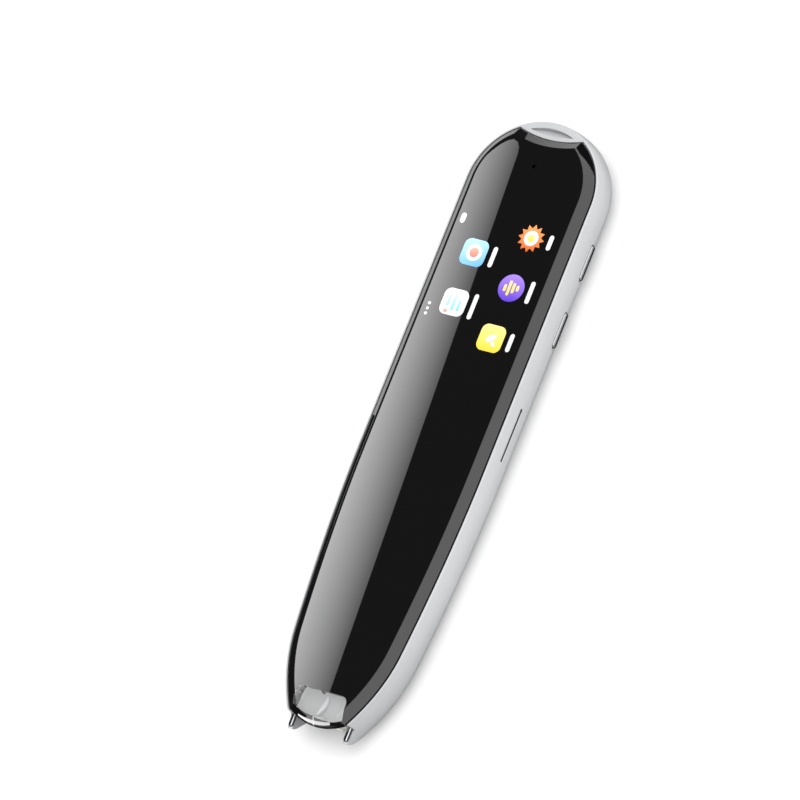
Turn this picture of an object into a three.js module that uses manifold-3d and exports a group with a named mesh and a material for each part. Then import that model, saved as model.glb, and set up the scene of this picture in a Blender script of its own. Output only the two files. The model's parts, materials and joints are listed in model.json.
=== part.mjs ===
// Scanning pen: a flat hand-held text scanner with a colour touch display, lying on its back.
// X is the width, with the side buttons at +X. Y runs from the nose to the tail.
// Z points out of the glass. Lengths are in millimetres.
// The pieces are drawn with Y = 0 at the nose end of the cover glass and Z = 0 at the back,
// and one group then moves the middle of the flat back to the origin.

import * as THREE from 'three';
import { mergeVertices } from 'three/addons/utils/BufferGeometryUtils.js';
import Module from 'manifold-3d';

const wasm = await Module();
wasm.setup();

// Plan outline, as seen from above the glass
const bodyHalfWidth = 17.13;
const tailCentreY = 136.1;
const straightStartY = 67.8;
const shoulderY = 21.5;
const shoulderWidthShare = 0.86;
const taperBendShare = 0.545;
const noseHalfWidth = 7.85;
const noseRise = 2.25;
const noseSlopeShare = 0.62;
const skidBendShare = 0.426;
const skidHalfSpan = 7.45;
const skidReach = 1.05;
const biteHalfChord = 8.75;
const biteDepth = 1.45;

// Side view of the casing
const overallThickness = 13;
const bevelDrop = 2;
const rearRadius = 5.6;
const bulge = 1;
const lipWidth = 0.4;
const wall = 1.3;
const skidDrop = 1.9;
const skidFootY = 9.2;
const skidFootPull = 4.4;
const skidTipPull = 2;
const skidTipRadius = 0.5;
const lipStepY = 2.6;
const ledgeWidth = 1;

// Cover glass
const glassGap = 0.25;
const glassEdge = 1;
const coverWall = 1.1;
const bevelWidth = 2.5;
const noseBevelWidth = 1.7;
const biteBevelWidth = 2.15;
const gluedRim = 2.35;
const micBackset = 5.5;
const micHoleRadius = 0.5;

// Clearances
const seatGap = 0.1;
const fitGap = 0.3;
const slideGap = 0.35;
const sideGap = 0.2;
const cutOverrun = 1;

// Tail recess
const recessEdge = 0.9;
const recessTailEdge = 1.15;
const recessDepth = 2.2;

// Side buttons
const buttonLength = 9.2;
const buttonHeight = 2.4;
const buttonProud = 0.35;
const buttonTravel = 0.4;
const powerButtonLead = 11.7;
const buttonSpacing = 17.2;
const flangeMargin = 0.6;
const flangeThickness = 0.6;
const buttonSkin = 1.4;
const nibRadius = 0.8;
const nibLength = 0.5;

// Tact switches
const tactWidth = 6;
const tactHeight = 2.2;
const tactDepth = 3;
const tactPlunger = 0.4;
const tactPlungerWidth = 1.8;

// Sound slot and speaker
const slotLead = 27.8;
const slotDrop = 3.65;
const slotLength = 13.5;
const slotHeight = 1.1;
const speakerLength = 17;
const speakerWidth = 12;
const speakerLift = 2.5;
const speakerCorner = 1.2;
const portDepth = 3;
const driverRadius = 4.3;
const driverSeat = 1.5;
const driverDepth = 2.2;
const meshThickness = 0.25;
const meshMargin = 0.5;

// Charging port at the tail
const portWidth = 8.94;
const portHeight = 3.26;
const portShell = 0.32;
const portLength = 7.35;
const tongueWidth = 6.7;
const tongueThickness = 0.7;

// Display stack
const displayLength = 44;
const displayLead = 1.3;
const touchThickness = 0.6;
const panelThickness = 0.9;
const backlightThickness = 0.7;

// Inner frame
const framePlate = 1.2;
const frameLead = 3.6;
const skirtDrop = 1.6;
const skirtWall = 0.9;
const flexSlotLength = 1.6;

// Screws and bosses
const screwRadius = 0.75;
const screwHeadRadius = 1.4;
const screwHeadHeight = 0.8;
const screwSink = 0.5;
const screwLength = 5;
const bossRadius = 2;
const screwInset = 3.9;
const frontScrewLead = 3.5;
const rearScrewBackset = 5.1;
const pegLead = 8;
const pegX = 11;
const pegRadius = 0.7;
const pegProud = 0.6;

// Scan head
const hoodWall = 0.7;
const hoodFrontTopY = 2.6;
const hoodFrontBottomY = 4.4;
const hoodRearY = 16.4;
const earLength = 4.4;
const earRadius = 2;
const runnerWidth = 1.1;
const runnerRise = 0.2;
const runnerBackset = 0.3;
const insertMargin = 1.05;
const insertLength = 7;
const insertFall = 1.4;
const ridgeWidth = 0.8;
const ridgeHeight = 0.25;

// Camera and lights
const ledSize = 1.6;
const ledDepth = 0.7;
const ledSpread = 4.2;
const lightBoardThickness = 0.8;
const snoutRadius = 1.7;
const barrelLength = 7;
const barrelBore = 1.1;
const lensRadius = 1.25;
const lensThickness = 0.8;
const sensorThickness = 0.6;
const cameraBoardHalfWidth = 5;
const cameraBoardThickness = 0.8;
const scanBoardHalfWidth = 6.6;
const boardThickness = 0.8;

// Scan trigger between the skids
const triggerHalfWidth = 2.5;
const triggerThickness = 1.3;
const triggerProud = 0.8;
const triggerTravel = 0.7;
const triggerNose = 1.4;

// Battery
const batteryCorner = 1.4;
const batteryPad = 0.5;
const batteryPadMargin = 3;
const flexRoom = 0.8;
const flexThickness = 0.2;
const flexWidth = 3.4;
const flexSpacing = 0.8;
const ribThickness = 0.8;
const ribHeight = 2.2;

// Main board
const boardRise = 1.2;
const boardReach = 13.1;
const processorLength = 18;
const shieldMargin = 2.4;
const processorLead = 18;
const radioLength = 9;
const radioHalfWidth = 6;
const radioGap = 3.5;
const canHeight = 1.5;
const connectorHeight = 1.1;
const connectorLength = 2.4;

// Microphone
const micSize = 3.4;
const micHeight = 1.1;
const gasketRadius = 1.5;

// Steps in the curves
const skidSteps = 3;
const shoulderSteps = 8;
const taperSteps = 5;
const tailSteps = 14;
const rearSteps = 6;
const sideSteps = 4;
const noseArcSteps = 7;
const roundSteps = 24;
const smallRoundSteps = 14;
const arcSteps = 8;
const cornerSteps = 3;

// Levels that follow from the sizes above
const rimZ = overallThickness - bevelDrop;
const glassBottomZ = rimZ - glassEdge;
const ledgeZ = glassBottomZ - seatGap;
const coverUnderZ = overallThickness - coverWall;
const touchTopZ = coverUnderZ - seatGap;
const panelTopZ = touchTopZ - touchThickness - seatGap;
const backlightTopZ = panelTopZ - panelThickness - seatGap;
const frameTopZ = backlightTopZ - backlightThickness - seatGap;
const frameBottomZ = frameTopZ - framePlate;
const bossTopZ = frameBottomZ - seatGap;
const boardBottomZ = wall + boardRise;
const boardTopZ = boardBottomZ + boardThickness;
const hoodTopZ = glassBottomZ - screwHeadHeight - fitGap;
const skidTopZ = glassBottomZ - skidDrop;
const triggerBottomZ = wall + slideGap;
const hoodBottomZ = triggerBottomZ + triggerThickness + slideGap;
const cameraZ = (hoodTopZ + hoodBottomZ) / 2;
const buttonZ = boardTopZ + seatGap + tactHeight / 2;
const slotZ = rimZ - slotDrop;

// Places along the pen and across it
const tailTipY = tailCentreY + bodyHalfWidth;
const micHoleY = tailCentreY + micBackset;
const powerButtonY = tailCentreY - powerButtonLead;
const functionButtonY = powerButtonY - buttonSpacing;
const slotY = functionButtonY - slotLead;
const displayY = tailCentreY - displayLead - displayLength / 2;
const boardStartY = slotY + speakerLength / 2 + fitGap;
const processorY = boardStartY + processorLead + processorLength / 2;
const radioY = processorY + processorLength / 2 + radioGap + radioLength / 2;
const insertHalfWidth = skidHalfSpan - insertMargin;
const hoodHalfWidth = insertHalfWidth + sideGap;
const hoodScrewY = hoodRearY + earRadius;
const frameStartY = hoodScrewY + earRadius + frameLead;
const frontScrewY = frameStartY + frontScrewLead;
const rearScrewY = tailCentreY + rearScrewBackset;
const glassDeepest = gluedRim + glassGap;
const tailRoof = recessDepth + wall + seatGap;
const displayHalfWidth = bodyHalfWidth - glassDeepest - fitGap;
const restCentreY = (tailTipY + bulge - skidReach) / 2;

// Circles of the nose and of the bite at the tail, from chord and height
const noseRadius = (noseHalfWidth ** 2 + noseRise ** 2) / (2 * noseRise);
const biteRadius = (biteHalfChord ** 2 + biteDepth ** 2) / (2 * biteDepth);
const biteCornerY = tailCentreY + Math.sqrt(bodyHalfWidth ** 2 - biteHalfChord ** 2);
const biteCentreY = biteCornerY - biteDepth + biteRadius;

// Welding, booleans and back to a geometry

function weld(geometry) {
  const bare = geometry.clone();
  bare.deleteAttribute('normal');
  bare.deleteAttribute('uv');
  const merged = mergeVertices(bare);
  const index = merged.index.array;
  const kept = [];
  for (let i = 0; i < index.length; i += 3) {
    const [a, b, c] = [index[i], index[i + 1], index[i + 2]];
    if (a !== b && b !== c && c !== a) kept.push(a, b, c);
  }
  merged.setIndex(kept);
  return merged;
}

function solidOf(geometry) {
  const welded = weld(geometry);
  return new wasm.Manifold(new wasm.Mesh({
    numProp: 3,
    vertProperties: new Float32Array(welded.attributes.position.array),
    triVerts: new Uint32Array(welded.index.array),
  }));
}

function geometryOf(solid) {
  const mesh = solid.getMesh();
  const geometry = new THREE.BufferGeometry();
  geometry.setAttribute('position', new THREE.BufferAttribute(mesh.vertProperties, mesh.numProp));
  geometry.setIndex(new THREE.BufferAttribute(mesh.triVerts, 1));
  return geometry;
}

function join(solids) {
  return solids.reduce((whole, solid) => whole.add(solid));
}

function cutAll(base, tools) {
  return tools.reduce((left, tool) => left.subtract(tool), base);
}

// Plain solids, placed by their corners or their axis

function block(low, high) {
  const [x0, y0, z0] = low;
  const [x1, y1, z1] = high;
  const geometry = new THREE.BoxGeometry(x1 - x0, y1 - y0, z1 - z0);
  geometry.translate((x0 + x1) / 2, (y0 + y1) / 2, (z0 + z1) / 2);
  return solidOf(geometry);
}

function postZ(x, y, radius, z0, z1, steps = smallRoundSteps) {
  const geometry = new THREE.CylinderGeometry(radius, radius, z1 - z0, steps);
  geometry.rotateX(Math.PI / 2);
  geometry.translate(x, y, (z0 + z1) / 2);
  return solidOf(geometry);
}

function postY(x, z, radius, y0, y1, steps = smallRoundSteps) {
  const geometry = new THREE.CylinderGeometry(radius, radius, y1 - y0, steps);
  geometry.translate(x, (y0 + y1) / 2, z);
  return solidOf(geometry);
}

function postX(y, z, radius, x0, x1, steps = smallRoundSteps) {
  const geometry = new THREE.CylinderGeometry(radius, radius, x1 - x0, steps);
  geometry.rotateZ(Math.PI / 2);
  geometry.translate((x0 + x1) / 2, y, z);
  return solidOf(geometry);
}

// Rounded rectangle about a centre; with a radius of half its height it is a pill

function roundedShape(centreU, centreV, length, height, radius) {
  const u = length / 2 - radius;
  const v = height / 2 - radius;
  const shape = new THREE.Shape();
  shape.absarc(centreU + u, centreV - v, radius, -Math.PI / 2, 0, false);
  shape.absarc(centreU + u, centreV + v, radius, 0, Math.PI / 2, false);
  shape.absarc(centreU - u, centreV + v, radius, Math.PI / 2, Math.PI, false);
  shape.absarc(centreU - u, centreV - v, radius, Math.PI, Math.PI * 1.5, false);
  return shape;
}

function pillShape(centreU, centreV, length, height) {
  const u = (length - height) / 2;
  const shape = new THREE.Shape();
  shape.absarc(centreU + u, centreV, height / 2, -Math.PI / 2, Math.PI / 2, false);
  shape.absarc(centreU - u, centreV, height / 2, Math.PI / 2, Math.PI * 1.5, false);
  return shape;
}

function extrude(shape, depth, curveSegments = arcSteps) {
  return new THREE.ExtrudeGeometry(shape, { depth, bevelEnabled: false, curveSegments });
}

// A shape drawn in Y and Z, carried along X
function alongX(shape, x0, x1) {
  const geometry = extrude(shape, x1 - x0);
  geometry.applyMatrix4(new THREE.Matrix4().makeBasis(
    new THREE.Vector3(0, 1, 0),
    new THREE.Vector3(0, 0, 1),
    new THREE.Vector3(1, 0, 0),
  ));
  geometry.translate(x0, 0, 0);
  return solidOf(geometry);
}

// A shape drawn in X and Z, carried along Y
function alongY(shape, y0, y1) {
  const geometry = extrude(shape, y1 - y0);
  geometry.rotateX(Math.PI / 2);
  geometry.translate(0, y1, 0);
  return solidOf(geometry);
}

// A shape drawn in X and Y, carried along Z
function alongZ(shape, z0, z1, steps = cornerSteps) {
  const geometry = extrude(shape, z1 - z0, steps);
  geometry.translate(0, 0, z0);
  return solidOf(geometry);
}

function polygon(points) {
  return new THREE.Shape(points.map(([u, v]) => new THREE.Vector2(u, v)));
}

// A skin over level loops of equal count, closed by a flat floor and a flat top
function loft(loops) {
  const count = loops[0].length;
  const faces = [];
  for (let level = 0; level + 1 < loops.length; level += 1) {
    for (let i = 0; i < count; i += 1) {
      const a = level * count + i;
      const b = level * count + ((i + 1) % count);
      faces.push(a, b, b + count, a, b + count, a + count);
    }
  }
  const flat = (loop) => loop.map((point) => new THREE.Vector2(point.x, point.y));
  const top = (loops.length - 1) * count;
  for (const [a, b, c] of THREE.ShapeUtils.triangulateShape(flat(loops[0]), [])) {
    faces.push(c, b, a);
  }
  for (const [a, b, c] of THREE.ShapeUtils.triangulateShape(flat(loops.at(-1)), [])) {
    faces.push(top + a, top + b, top + c);
  }
  const geometry = new THREE.BufferGeometry();
  const numbers = loops.flat().flatMap((point) => [point.x, point.y, point.z]);
  geometry.setAttribute('position', new THREE.Float32BufferAttribute(numbers, 3));
  geometry.setIndex(faces);
  return solidOf(geometry);
}

// Plan outline: skid, flare to the shoulder, slow taper, straight side, round tail

function planCurves() {
  const corner = new THREE.Vector2(noseHalfWidth, noseRise);
  const shoulder = new THREE.Vector2(shoulderWidthShare * bodyHalfWidth, shoulderY);
  const straight = new THREE.Vector2(bodyHalfWidth, straightStartY);
  const tail = new THREE.Vector2(bodyHalfWidth, tailCentreY);
  const bend = noseRise - skidBendShare * (noseRise + skidReach);
  const skidBend = new THREE.Vector2(skidHalfSpan, bend);
  const skidEnd = new THREE.Vector2(skidHalfSpan, 2 * bend - noseRise);
  const skidTip = new THREE.Vector2(skidHalfSpan, -(skidReach + cutOverrun));
  const taperY = shoulder.y + taperBendShare * (straightStartY - shoulder.y);
  const taper = new THREE.Vector2(bodyHalfWidth, taperY);
  const slope = (taper.x - shoulder.x) / (taper.y - shoulder.y);
  const rise = shoulder.x - corner.x + noseSlopeShare * corner.y - slope * shoulder.y;
  const flareY = rise / (noseSlopeShare - slope);
  const flare = new THREE.Vector2(corner.x + noseSlopeShare * (flareY - corner.y), flareY);
  return [
    [new THREE.LineCurve(skidTip, skidEnd), 1],
    [new THREE.QuadraticBezierCurve(skidEnd, skidBend, corner), skidSteps],
    [new THREE.QuadraticBezierCurve(corner, flare, shoulder), shoulderSteps],
    [new THREE.QuadraticBezierCurve(shoulder, taper, straight), taperSteps],
    [new THREE.LineCurve(straight, tail), 1],
    [new THREE.EllipseCurve(0, tailCentreY, bodyHalfWidth, bodyHalfWidth, 0, Math.PI / 2), tailSteps],
  ];
}

function planStationList() {
  const stations = [];
  for (const [curve, steps] of planCurves()) {
    for (let k = 0; k < steps; k += 1) {
      stations.push({ point: curve.getPoint(k / steps), tangent: curve.getTangent(k / steps) });
    }
  }
  stations.push({ point: new THREE.Vector2(0, tailTipY), tangent: new THREE.Vector2(-1, 0) });
  return stations;
}

const planStations = planStationList();

function outwardPoint(station, out) {
  const { point, tangent } = station;
  return new THREE.Vector2(point.x + tangent.y * out, point.y - tangent.x * out);
}

function mirroredLoop(half, z) {
  const right = half.map((point) => new THREE.Vector3(point.x, point.y, z));
  const left = half.filter((point) => point.x > seatGap).reverse();
  return [...right, ...left.map((point) => new THREE.Vector3(-point.x, point.y, z))];
}

function planLoop(out, z) {
  return mirroredLoop(planStations.map((station) => outwardPoint(station, out)), z);
}

function planHalfWidth(y) {
  const next = planStations.findIndex(({ point }) => point.y > y);
  const a = planStations[next - 1].point;
  const b = planStations[next].point;
  return a.x + ((b.x - a.x) * (y - a.y)) / (b.y - a.y);
}

// Wall: a round rear edge, then a slight bulge that closes in on the rim

function wallOut(z, inset) {
  if (z < rearRadius) {
    const drop = rearRadius - z;
    return bulge - rearRadius + Math.sqrt(Math.max((rearRadius - inset) ** 2 - drop ** 2, 0));
  }
  const rise = (z - rearRadius) / (rimZ - rearRadius);
  return bulge - inset - (bulge - lipWidth) * rise ** 2;
}

function wallLoops(inset) {
  const levels = [];
  for (let k = 0; k <= rearSteps; k += 1) {
    const angle = (Math.PI / 2) * (k / rearSteps);
    const radius = rearRadius - inset;
    const out = bulge - rearRadius + radius * Math.sin(angle);
    levels.push([out, rearRadius - radius * Math.cos(angle)]);
  }
  for (let k = 1; k <= sideSteps; k += 1) {
    const z = rearRadius + (rimZ - rearRadius) * (k / sideSteps);
    levels.push([wallOut(z, inset), z]);
  }
  return levels.map(([out, z]) => planLoop(out, z));
}

function cavityHalfWidth(y, z) {
  return planHalfWidth(y) + wallOut(z, wall);
}

// Plate that follows the inside of the walls between two places along the pen
function wallPlate(out, z0, z1, y0, y1) {
  const reach = bodyHalfWidth + cutOverrun;
  const plate = loft([planLoop(out, z0), planLoop(out, z1)]);
  return plate.intersect(block([-reach, y0, z0 - cutOverrun], [reach, y1, z1 + cutOverrun]));
}

function biteCylinder(extra, z0, z1) {
  return postZ(0, biteCentreY, biteRadius + extra, z0, z1, roundSteps * arcSteps);
}

// Places of the screws and pegs: pairs on bosses along the walls, mirrored about the middle

function mirroredPlaces(y, x) {
  return [[x, y], [-x, y]];
}

const middleScrewY = slotY - speakerLength / 2 - bossRadius - 2 * fitGap;
const frameScrewPlaces = [frontScrewY, middleScrewY, rearScrewY].flatMap(
  (y) => mirroredPlaces(y, planHalfWidth(y) - screwInset),
);
const hoodScrewX = (scanBoardHalfWidth + cavityHalfWidth(hoodScrewY, hoodTopZ)) / 2;
const hoodScrewPlaces = mirroredPlaces(hoodScrewY, hoodScrewX);
const pegPlaces = mirroredPlaces(boardStartY + pegLead, pegX);

// Rear housing

// Everything behind the slanted, rounded end of the skids and below the lip
function sideProfile() {
  const far = tailTipY + bulge + cutOverrun;
  const shape = new THREE.Shape();
  shape.moveTo(far, -cutOverrun);
  shape.lineTo(far, rimZ + cutOverrun);
  shape.lineTo(lipStepY, rimZ + cutOverrun);
  shape.lineTo(lipStepY, skidTopZ);
  shape.lineTo(-skidReach + skidTipRadius, skidTopZ);
  const tipZ = skidTopZ - skidTipRadius;
  shape.absarc(-skidReach + skidTipRadius, tipZ, skidTipRadius, Math.PI / 2, Math.PI, false);
  shape.bezierCurveTo(
    -skidReach,
    tipZ - skidTipPull,
    skidFootY - skidFootPull,
    0,
    skidFootY,
    0,
  );
  shape.lineTo(skidFootY, -cutOverrun);
  return shape;
}

function sideEnvelope() {
  const reach = bodyHalfWidth + bulge + cutOverrun;
  return alongX(sideProfile(), -reach, reach);
}

function housingCavity() {
  const loops = wallLoops(wall);
  const open = wallOut(rimZ, wall);
  loops.push(planLoop(open, rimZ + cutOverrun));
  const roof = biteCylinder(ledgeWidth, rimZ - tailRoof, rimZ + 2 * cutOverrun);
  return loft(loops).subtract(roof);
}

function glassPocket() {
  const top = rimZ + cutOverrun;
  const pocket = loft([planLoop(0, ledgeZ), planLoop(0, top)]);
  return pocket.subtract(biteCylinder(0, ledgeZ - cutOverrun, top + cutOverrun));
}

function bosses(places, z1) {
  return join(places.map(([x, y]) => postZ(x, y, bossRadius, wall / 2, z1)));
}

function screwBores(places, headBottomZ) {
  const bore = screwRadius + seatGap;
  const bottom = headBottomZ - screwLength - seatGap;
  return places.map(([x, y]) => postZ(x, y, bore, bottom, headBottomZ + cutOverrun));
}

const frameHeadZ = frameTopZ - screwSink;
const hoodHeadZ = hoodTopZ - hoodWall + seatGap;

function buttonOpenings(y) {
  const outer = bodyHalfWidth + bulge + cutOverrun;
  const seat = bodyHalfWidth + bulge - buttonSkin;
  const length = buttonLength + 2 * sideGap;
  const height = buttonHeight + 2 * sideGap;
  const margin = flangeMargin + fitGap;
  const hole = alongX(pillShape(y, buttonZ, length, height), seat - cutOverrun, outer);
  const pocket = block(
    [pocketInnerX, y - buttonLength / 2 - margin, buttonZ - buttonHeight / 2 - margin],
    [seat, y + buttonLength / 2 + margin, buttonZ + buttonHeight / 2 + margin],
  );
  return [hole, pocket];
}

function soundSlot() {
  const outer = bodyHalfWidth + bulge + cutOverrun;
  return alongX(pillShape(slotY, slotZ, slotLength, slotHeight), outer - 2 * wall - bulge, outer);
}

const portZ = boardTopZ + seatGap + portHeight / 2;

function portOpening() {
  const shape = pillShape(0, portZ, portWidth + fitGap, portHeight + fitGap);
  return alongY(shape, tailTipY - 2 * wall, tailTipY + bulge + cutOverrun);
}

// Scooped recess in the tail face, between the bite and the outer rim
function tailRecess() {
  const top = rimZ + cutOverrun;
  const bottom = rimZ - recessDepth;
  const front = biteCentreY - biteRadius + recessEdge;
  const back = tailTipY - recessTailEdge;
  const steps = roundSteps * arcSteps;
  const tailRound = postZ(0, tailCentreY, bodyHalfWidth - recessTailEdge, bottom, top, steps);
  const frontRound = biteCylinder(-recessEdge, bottom, top);
  const scoop = polygon([[front, rimZ], [back, bottom], [back + cutOverrun, bottom],
    [back + cutOverrun, top], [front, top]]);
  const reach = bodyHalfWidth;
  return tailRound.intersect(frontRound).intersect(alongX(scoop, -reach, reach));
}

const runnerX = skidHalfSpan + wallOut(skidTopZ, 0) - wall / 2;

function runnerChannels() {
  const half = runnerWidth / 2 + sideGap;
  return [1, -1].map((side) => block(
    [side * runnerX - half, -skidReach - cutOverrun, skidTopZ],
    [side * runnerX + half, hoodRearY + fitGap, hoodTopZ + sideGap + seatGap],
  ));
}

function crossRib(y) {
  const half = planHalfWidth(y) - rearRadius;
  return block([-half, y, wall / 2], [half, y + ribThickness, wall + ribHeight]);
}

function rearHousing() {
  const skin = loft(wallLoops(0));
  const shell = skin.intersect(sideEnvelope()).subtract(housingCavity());
  const hoodBossZ = hoodTopZ - hoodWall - seatGap;
  const inside = join([
    bosses(frameScrewPlaces, bossTopZ),
    bosses(hoodScrewPlaces, hoodBossZ),
    bosses(pegPlaces, boardBottomZ - seatGap),
    ...pegPlaces.map(([x, y]) => postZ(x, y, pegRadius, wall / 2, boardTopZ + pegProud)),
    crossRib(batteryStartY - fitGap - ribThickness),
    crossRib(batteryEndY + fitGap),
  ]).intersect(skin);
  return cutAll(shell.add(inside), [
    glassPocket(),
    soundSlot(),
    portOpening(),
    tailRecess(),
    ...buttonOpenings(powerButtonY),
    ...buttonOpenings(functionButtonY),
    ...runnerChannels(),
    ...screwBores(frameScrewPlaces, frameHeadZ),
    ...screwBores(hoodScrewPlaces, hoodHeadZ),
  ]);
}

// Cover glass: a chamfered plate, hollowed from below for the display

function circleCrossing(points, centreY, radius) {
  const far = (point) => Math.hypot(point.x, point.y - centreY) - radius;
  const i = points.findIndex((point, k) => k + 1 < points.length
    && Math.sign(far(point)) !== Math.sign(far(points[k + 1])));
  const t = far(points[i]) / (far(points[i]) - far(points[i + 1]));
  return points[i].clone().lerp(points[i + 1], t);
}

// Stations of the glass side, led a little past the nose corner so that every inset meets the nose
function glassStations() {
  const first = planStations.findIndex(({ point }) => point.y >= noseRise);
  const { point, tangent } = planStations[first];
  const lead = point.clone().addScaledVector(tangent, -noseRise);
  return [{ point: lead, tangent }, ...planStations.slice(first)];
}

function arcPoints(centreY, radius, from, to, steps) {
  const angle = (point) => Math.atan2(point.x, point.y - centreY);
  const a = angle(from);
  const turn = angle(to) - a;
  const points = [];
  for (let k = 0; k < steps; k += 1) {
    const at = a + turn * (k / steps);
    points.push(new THREE.Vector2(radius * Math.sin(at), centreY + radius * Math.cos(at)));
  }
  return points;
}

// Whether the deepest inset of a side station still lies between the nose and the bite
function onGlassSide(station) {
  const { x, y } = outwardPoint(station, -glassDeepest);
  const pastNose = Math.hypot(x, y - noseRadius) > noseRadius - glassDeepest;
  const pastBite = Math.hypot(x, y - biteCentreY) < biteRadius + glassDeepest;
  return !(pastNose && y < noseRadius - noseRise) && !pastBite;
}

// Outline of the glass at one inset; every inset has the same number of points
function glassLoop(sideInset, noseInset, biteInset, z) {
  const radiusNose = noseRadius - noseInset;
  const radiusBite = biteRadius + biteInset;
  const inset = (station) => outwardPoint(station, -sideInset);
  const all = glassStations().map(inset);
  const start = circleCrossing(all.filter(({ y }) => y < noseRadius), noseRadius, radiusNose);
  const highHalf = all.filter(({ y }) => y > tailCentreY).reverse();
  const end = circleCrossing(highHalf, biteCentreY, radiusBite);
  const kept = glassStations().filter(onGlassSide).map(inset);
  const noseMiddle = new THREE.Vector2(0, noseRadius - radiusNose);
  const biteMiddle = new THREE.Vector2(0, biteCentreY - radiusBite);
  const half = [
    ...arcPoints(noseRadius, radiusNose, noseMiddle, start, noseArcSteps),
    start,
    ...kept,
    ...arcPoints(biteCentreY, radiusBite, end, biteMiddle, noseArcSteps),
    biteMiddle,
  ];
  const right = half.map((point) => new THREE.Vector3(point.x, point.y, z));
  const left = half.slice(1, -1).reverse();
  return [...right, ...left.map((point) => new THREE.Vector3(-point.x, point.y, z))];
}

function frontGlass() {
  const plate = loft([
    glassLoop(glassGap, glassGap, glassGap, glassBottomZ),
    glassLoop(glassGap, glassGap, glassGap, rimZ),
    glassLoop(
      glassGap + bevelWidth,
      glassGap + noseBevelWidth,
      glassGap + biteBevelWidth,
      overallThickness,
    ),
  ]);
  const pocket = loft([
    glassLoop(glassDeepest, glassDeepest, glassDeepest, glassBottomZ - cutOverrun),
    glassLoop(glassDeepest, glassDeepest, glassDeepest, coverUnderZ),
  ]);
  const micHole = postZ(0, micHoleY, micHoleRadius, coverUnderZ - cutOverrun,
    overallThickness + cutOverrun);
  return plate.subtract(pocket).subtract(micHole);
}

// Inner frame: a plate under the display, with a skirt along the walls

function frameRing(z0, z1, out) {
  const outer = wallPlate(out, z0, z1, frameStartY, tailTipY);
  const inner = wallPlate(out - skirtWall, z0 - cutOverrun, z1 + cutOverrun,
    frameStartY + skirtWall, tailTipY);
  return outer.subtract(inner);
}

function innerFrame() {
  const out = wallOut(frameTopZ, wall) - fitGap;
  const reach = bodyHalfWidth + cutOverrun;
  const plate = wallPlate(out, frameBottomZ, frameTopZ, frameStartY, tailTipY);
  const skirt = frameRing(frameBottomZ - skirtDrop, frameBottomZ, out);
  const skirtBottom = frameBottomZ - skirtDrop - cutOverrun;
  const roof = biteCylinder(ledgeWidth + fitGap, skirtBottom, frameTopZ + cutOverrun);
  const soundGap = block(
    [speakerOuterX - speakerWidth - fitGap, slotY - speakerLength / 2 - fitGap, skirtBottom],
    [reach, slotY + speakerLength / 2 + fitGap, frameBottomZ],
  );
  const meshNotch = block(
    [speakerOuterX, slotY - slotLength / 2 - meshMargin - fitGap, skirtBottom],
    [reach, slotY + slotLength / 2 + meshMargin + fitGap, meshTopZ + seatGap],
  );
  const cameraNotchEnd = Math.max(cameraRearY, frameStartY + skirtWall) + fitGap;
  const cameraNotch = block(
    [-cameraBoardHalfWidth - fitGap, frameStartY - cutOverrun, skirtBottom],
    [cameraBoardHalfWidth + fitGap, cameraNotchEnd, frameTopZ + cutOverrun],
  );
  const flangeReach = buttonLength / 2 + flangeMargin + fitGap;
  const buttonNotches = [powerButtonY, functionButtonY].map((y) => block(
    [pocketInnerX - fitGap, y - flangeReach, skirtBottom],
    [reach, y + flangeReach, Math.max(buttonZ + flangeReach, frameBottomZ)],
  ));
  const flexSlot = block(
    [displayFlexX - fitGap, displayFlexY - flexSlotLength / 2, skirtBottom],
    [displayFlexX + flexWidth + fitGap, displayFlexY + flexSlotLength / 2, frameTopZ + cutOverrun],
  );
  const clearBosses = frameScrewPlaces.map(([x, y]) => postZ(x, y, bossRadius + fitGap,
    skirtBottom, frameBottomZ));
  const counterbores = frameScrewPlaces.map(([x, y]) => postZ(x, y, screwHeadRadius + sideGap,
    frameHeadZ - seatGap, frameTopZ + cutOverrun));
  return cutAll(plate.add(skirt), [
    roof,
    soundGap,
    meshNotch,
    cameraNotch,
    flexSlot,
    ...buttonNotches,
    ...clearBosses,
    ...counterbores,
    ...screwBores(frameScrewPlaces, frameHeadZ),
  ]);
}

// Display stack: touch sheet, panel and backlight

function displayLayer(topZ, thickness, margin) {
  const length = displayLength - 2 * margin;
  const width = 2 * (displayHalfWidth - margin);
  return alongZ(roundedShape(0, displayY, width, length, fitGap), topZ - thickness, topZ);
}

// Screws, each one turned profile

function screw(x, y, headBottomZ) {
  const profile = [
    new THREE.Vector2(0, -screwLength),
    new THREE.Vector2(screwRadius - seatGap, -screwLength + seatGap),
    new THREE.Vector2(screwRadius, -screwLength + screwRadius),
    new THREE.Vector2(screwRadius, 0),
    new THREE.Vector2(screwHeadRadius, 0),
    new THREE.Vector2(screwHeadRadius, screwHeadHeight / 2),
    new THREE.Vector2(screwHeadRadius - fitGap, screwHeadHeight),
    new THREE.Vector2(0, screwHeadHeight),
  ];
  const geometry = new THREE.LatheGeometry(profile, smallRoundSteps);
  geometry.rotateX(Math.PI / 2);
  geometry.translate(x, y, headBottomZ);
  return solidOf(geometry);
}

// Side buttons with an inner flange, and the switches that they press

const buttonSeatX = bodyHalfWidth + bulge - buttonSkin;
const buttonFaceX = bodyHalfWidth + wallOut(buttonZ, 0) + buttonProud;
const flangeOuterX = buttonSeatX - fitGap;
const flangeInnerX = flangeOuterX - flangeThickness;
const pocketInnerX = flangeInnerX - buttonTravel - slideGap;
const nibEndX = flangeInnerX - nibLength;
const switchFrontX = nibEndX - buttonTravel - seatGap;
const switchBackX = switchFrontX - tactPlunger - tactDepth;

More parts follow.
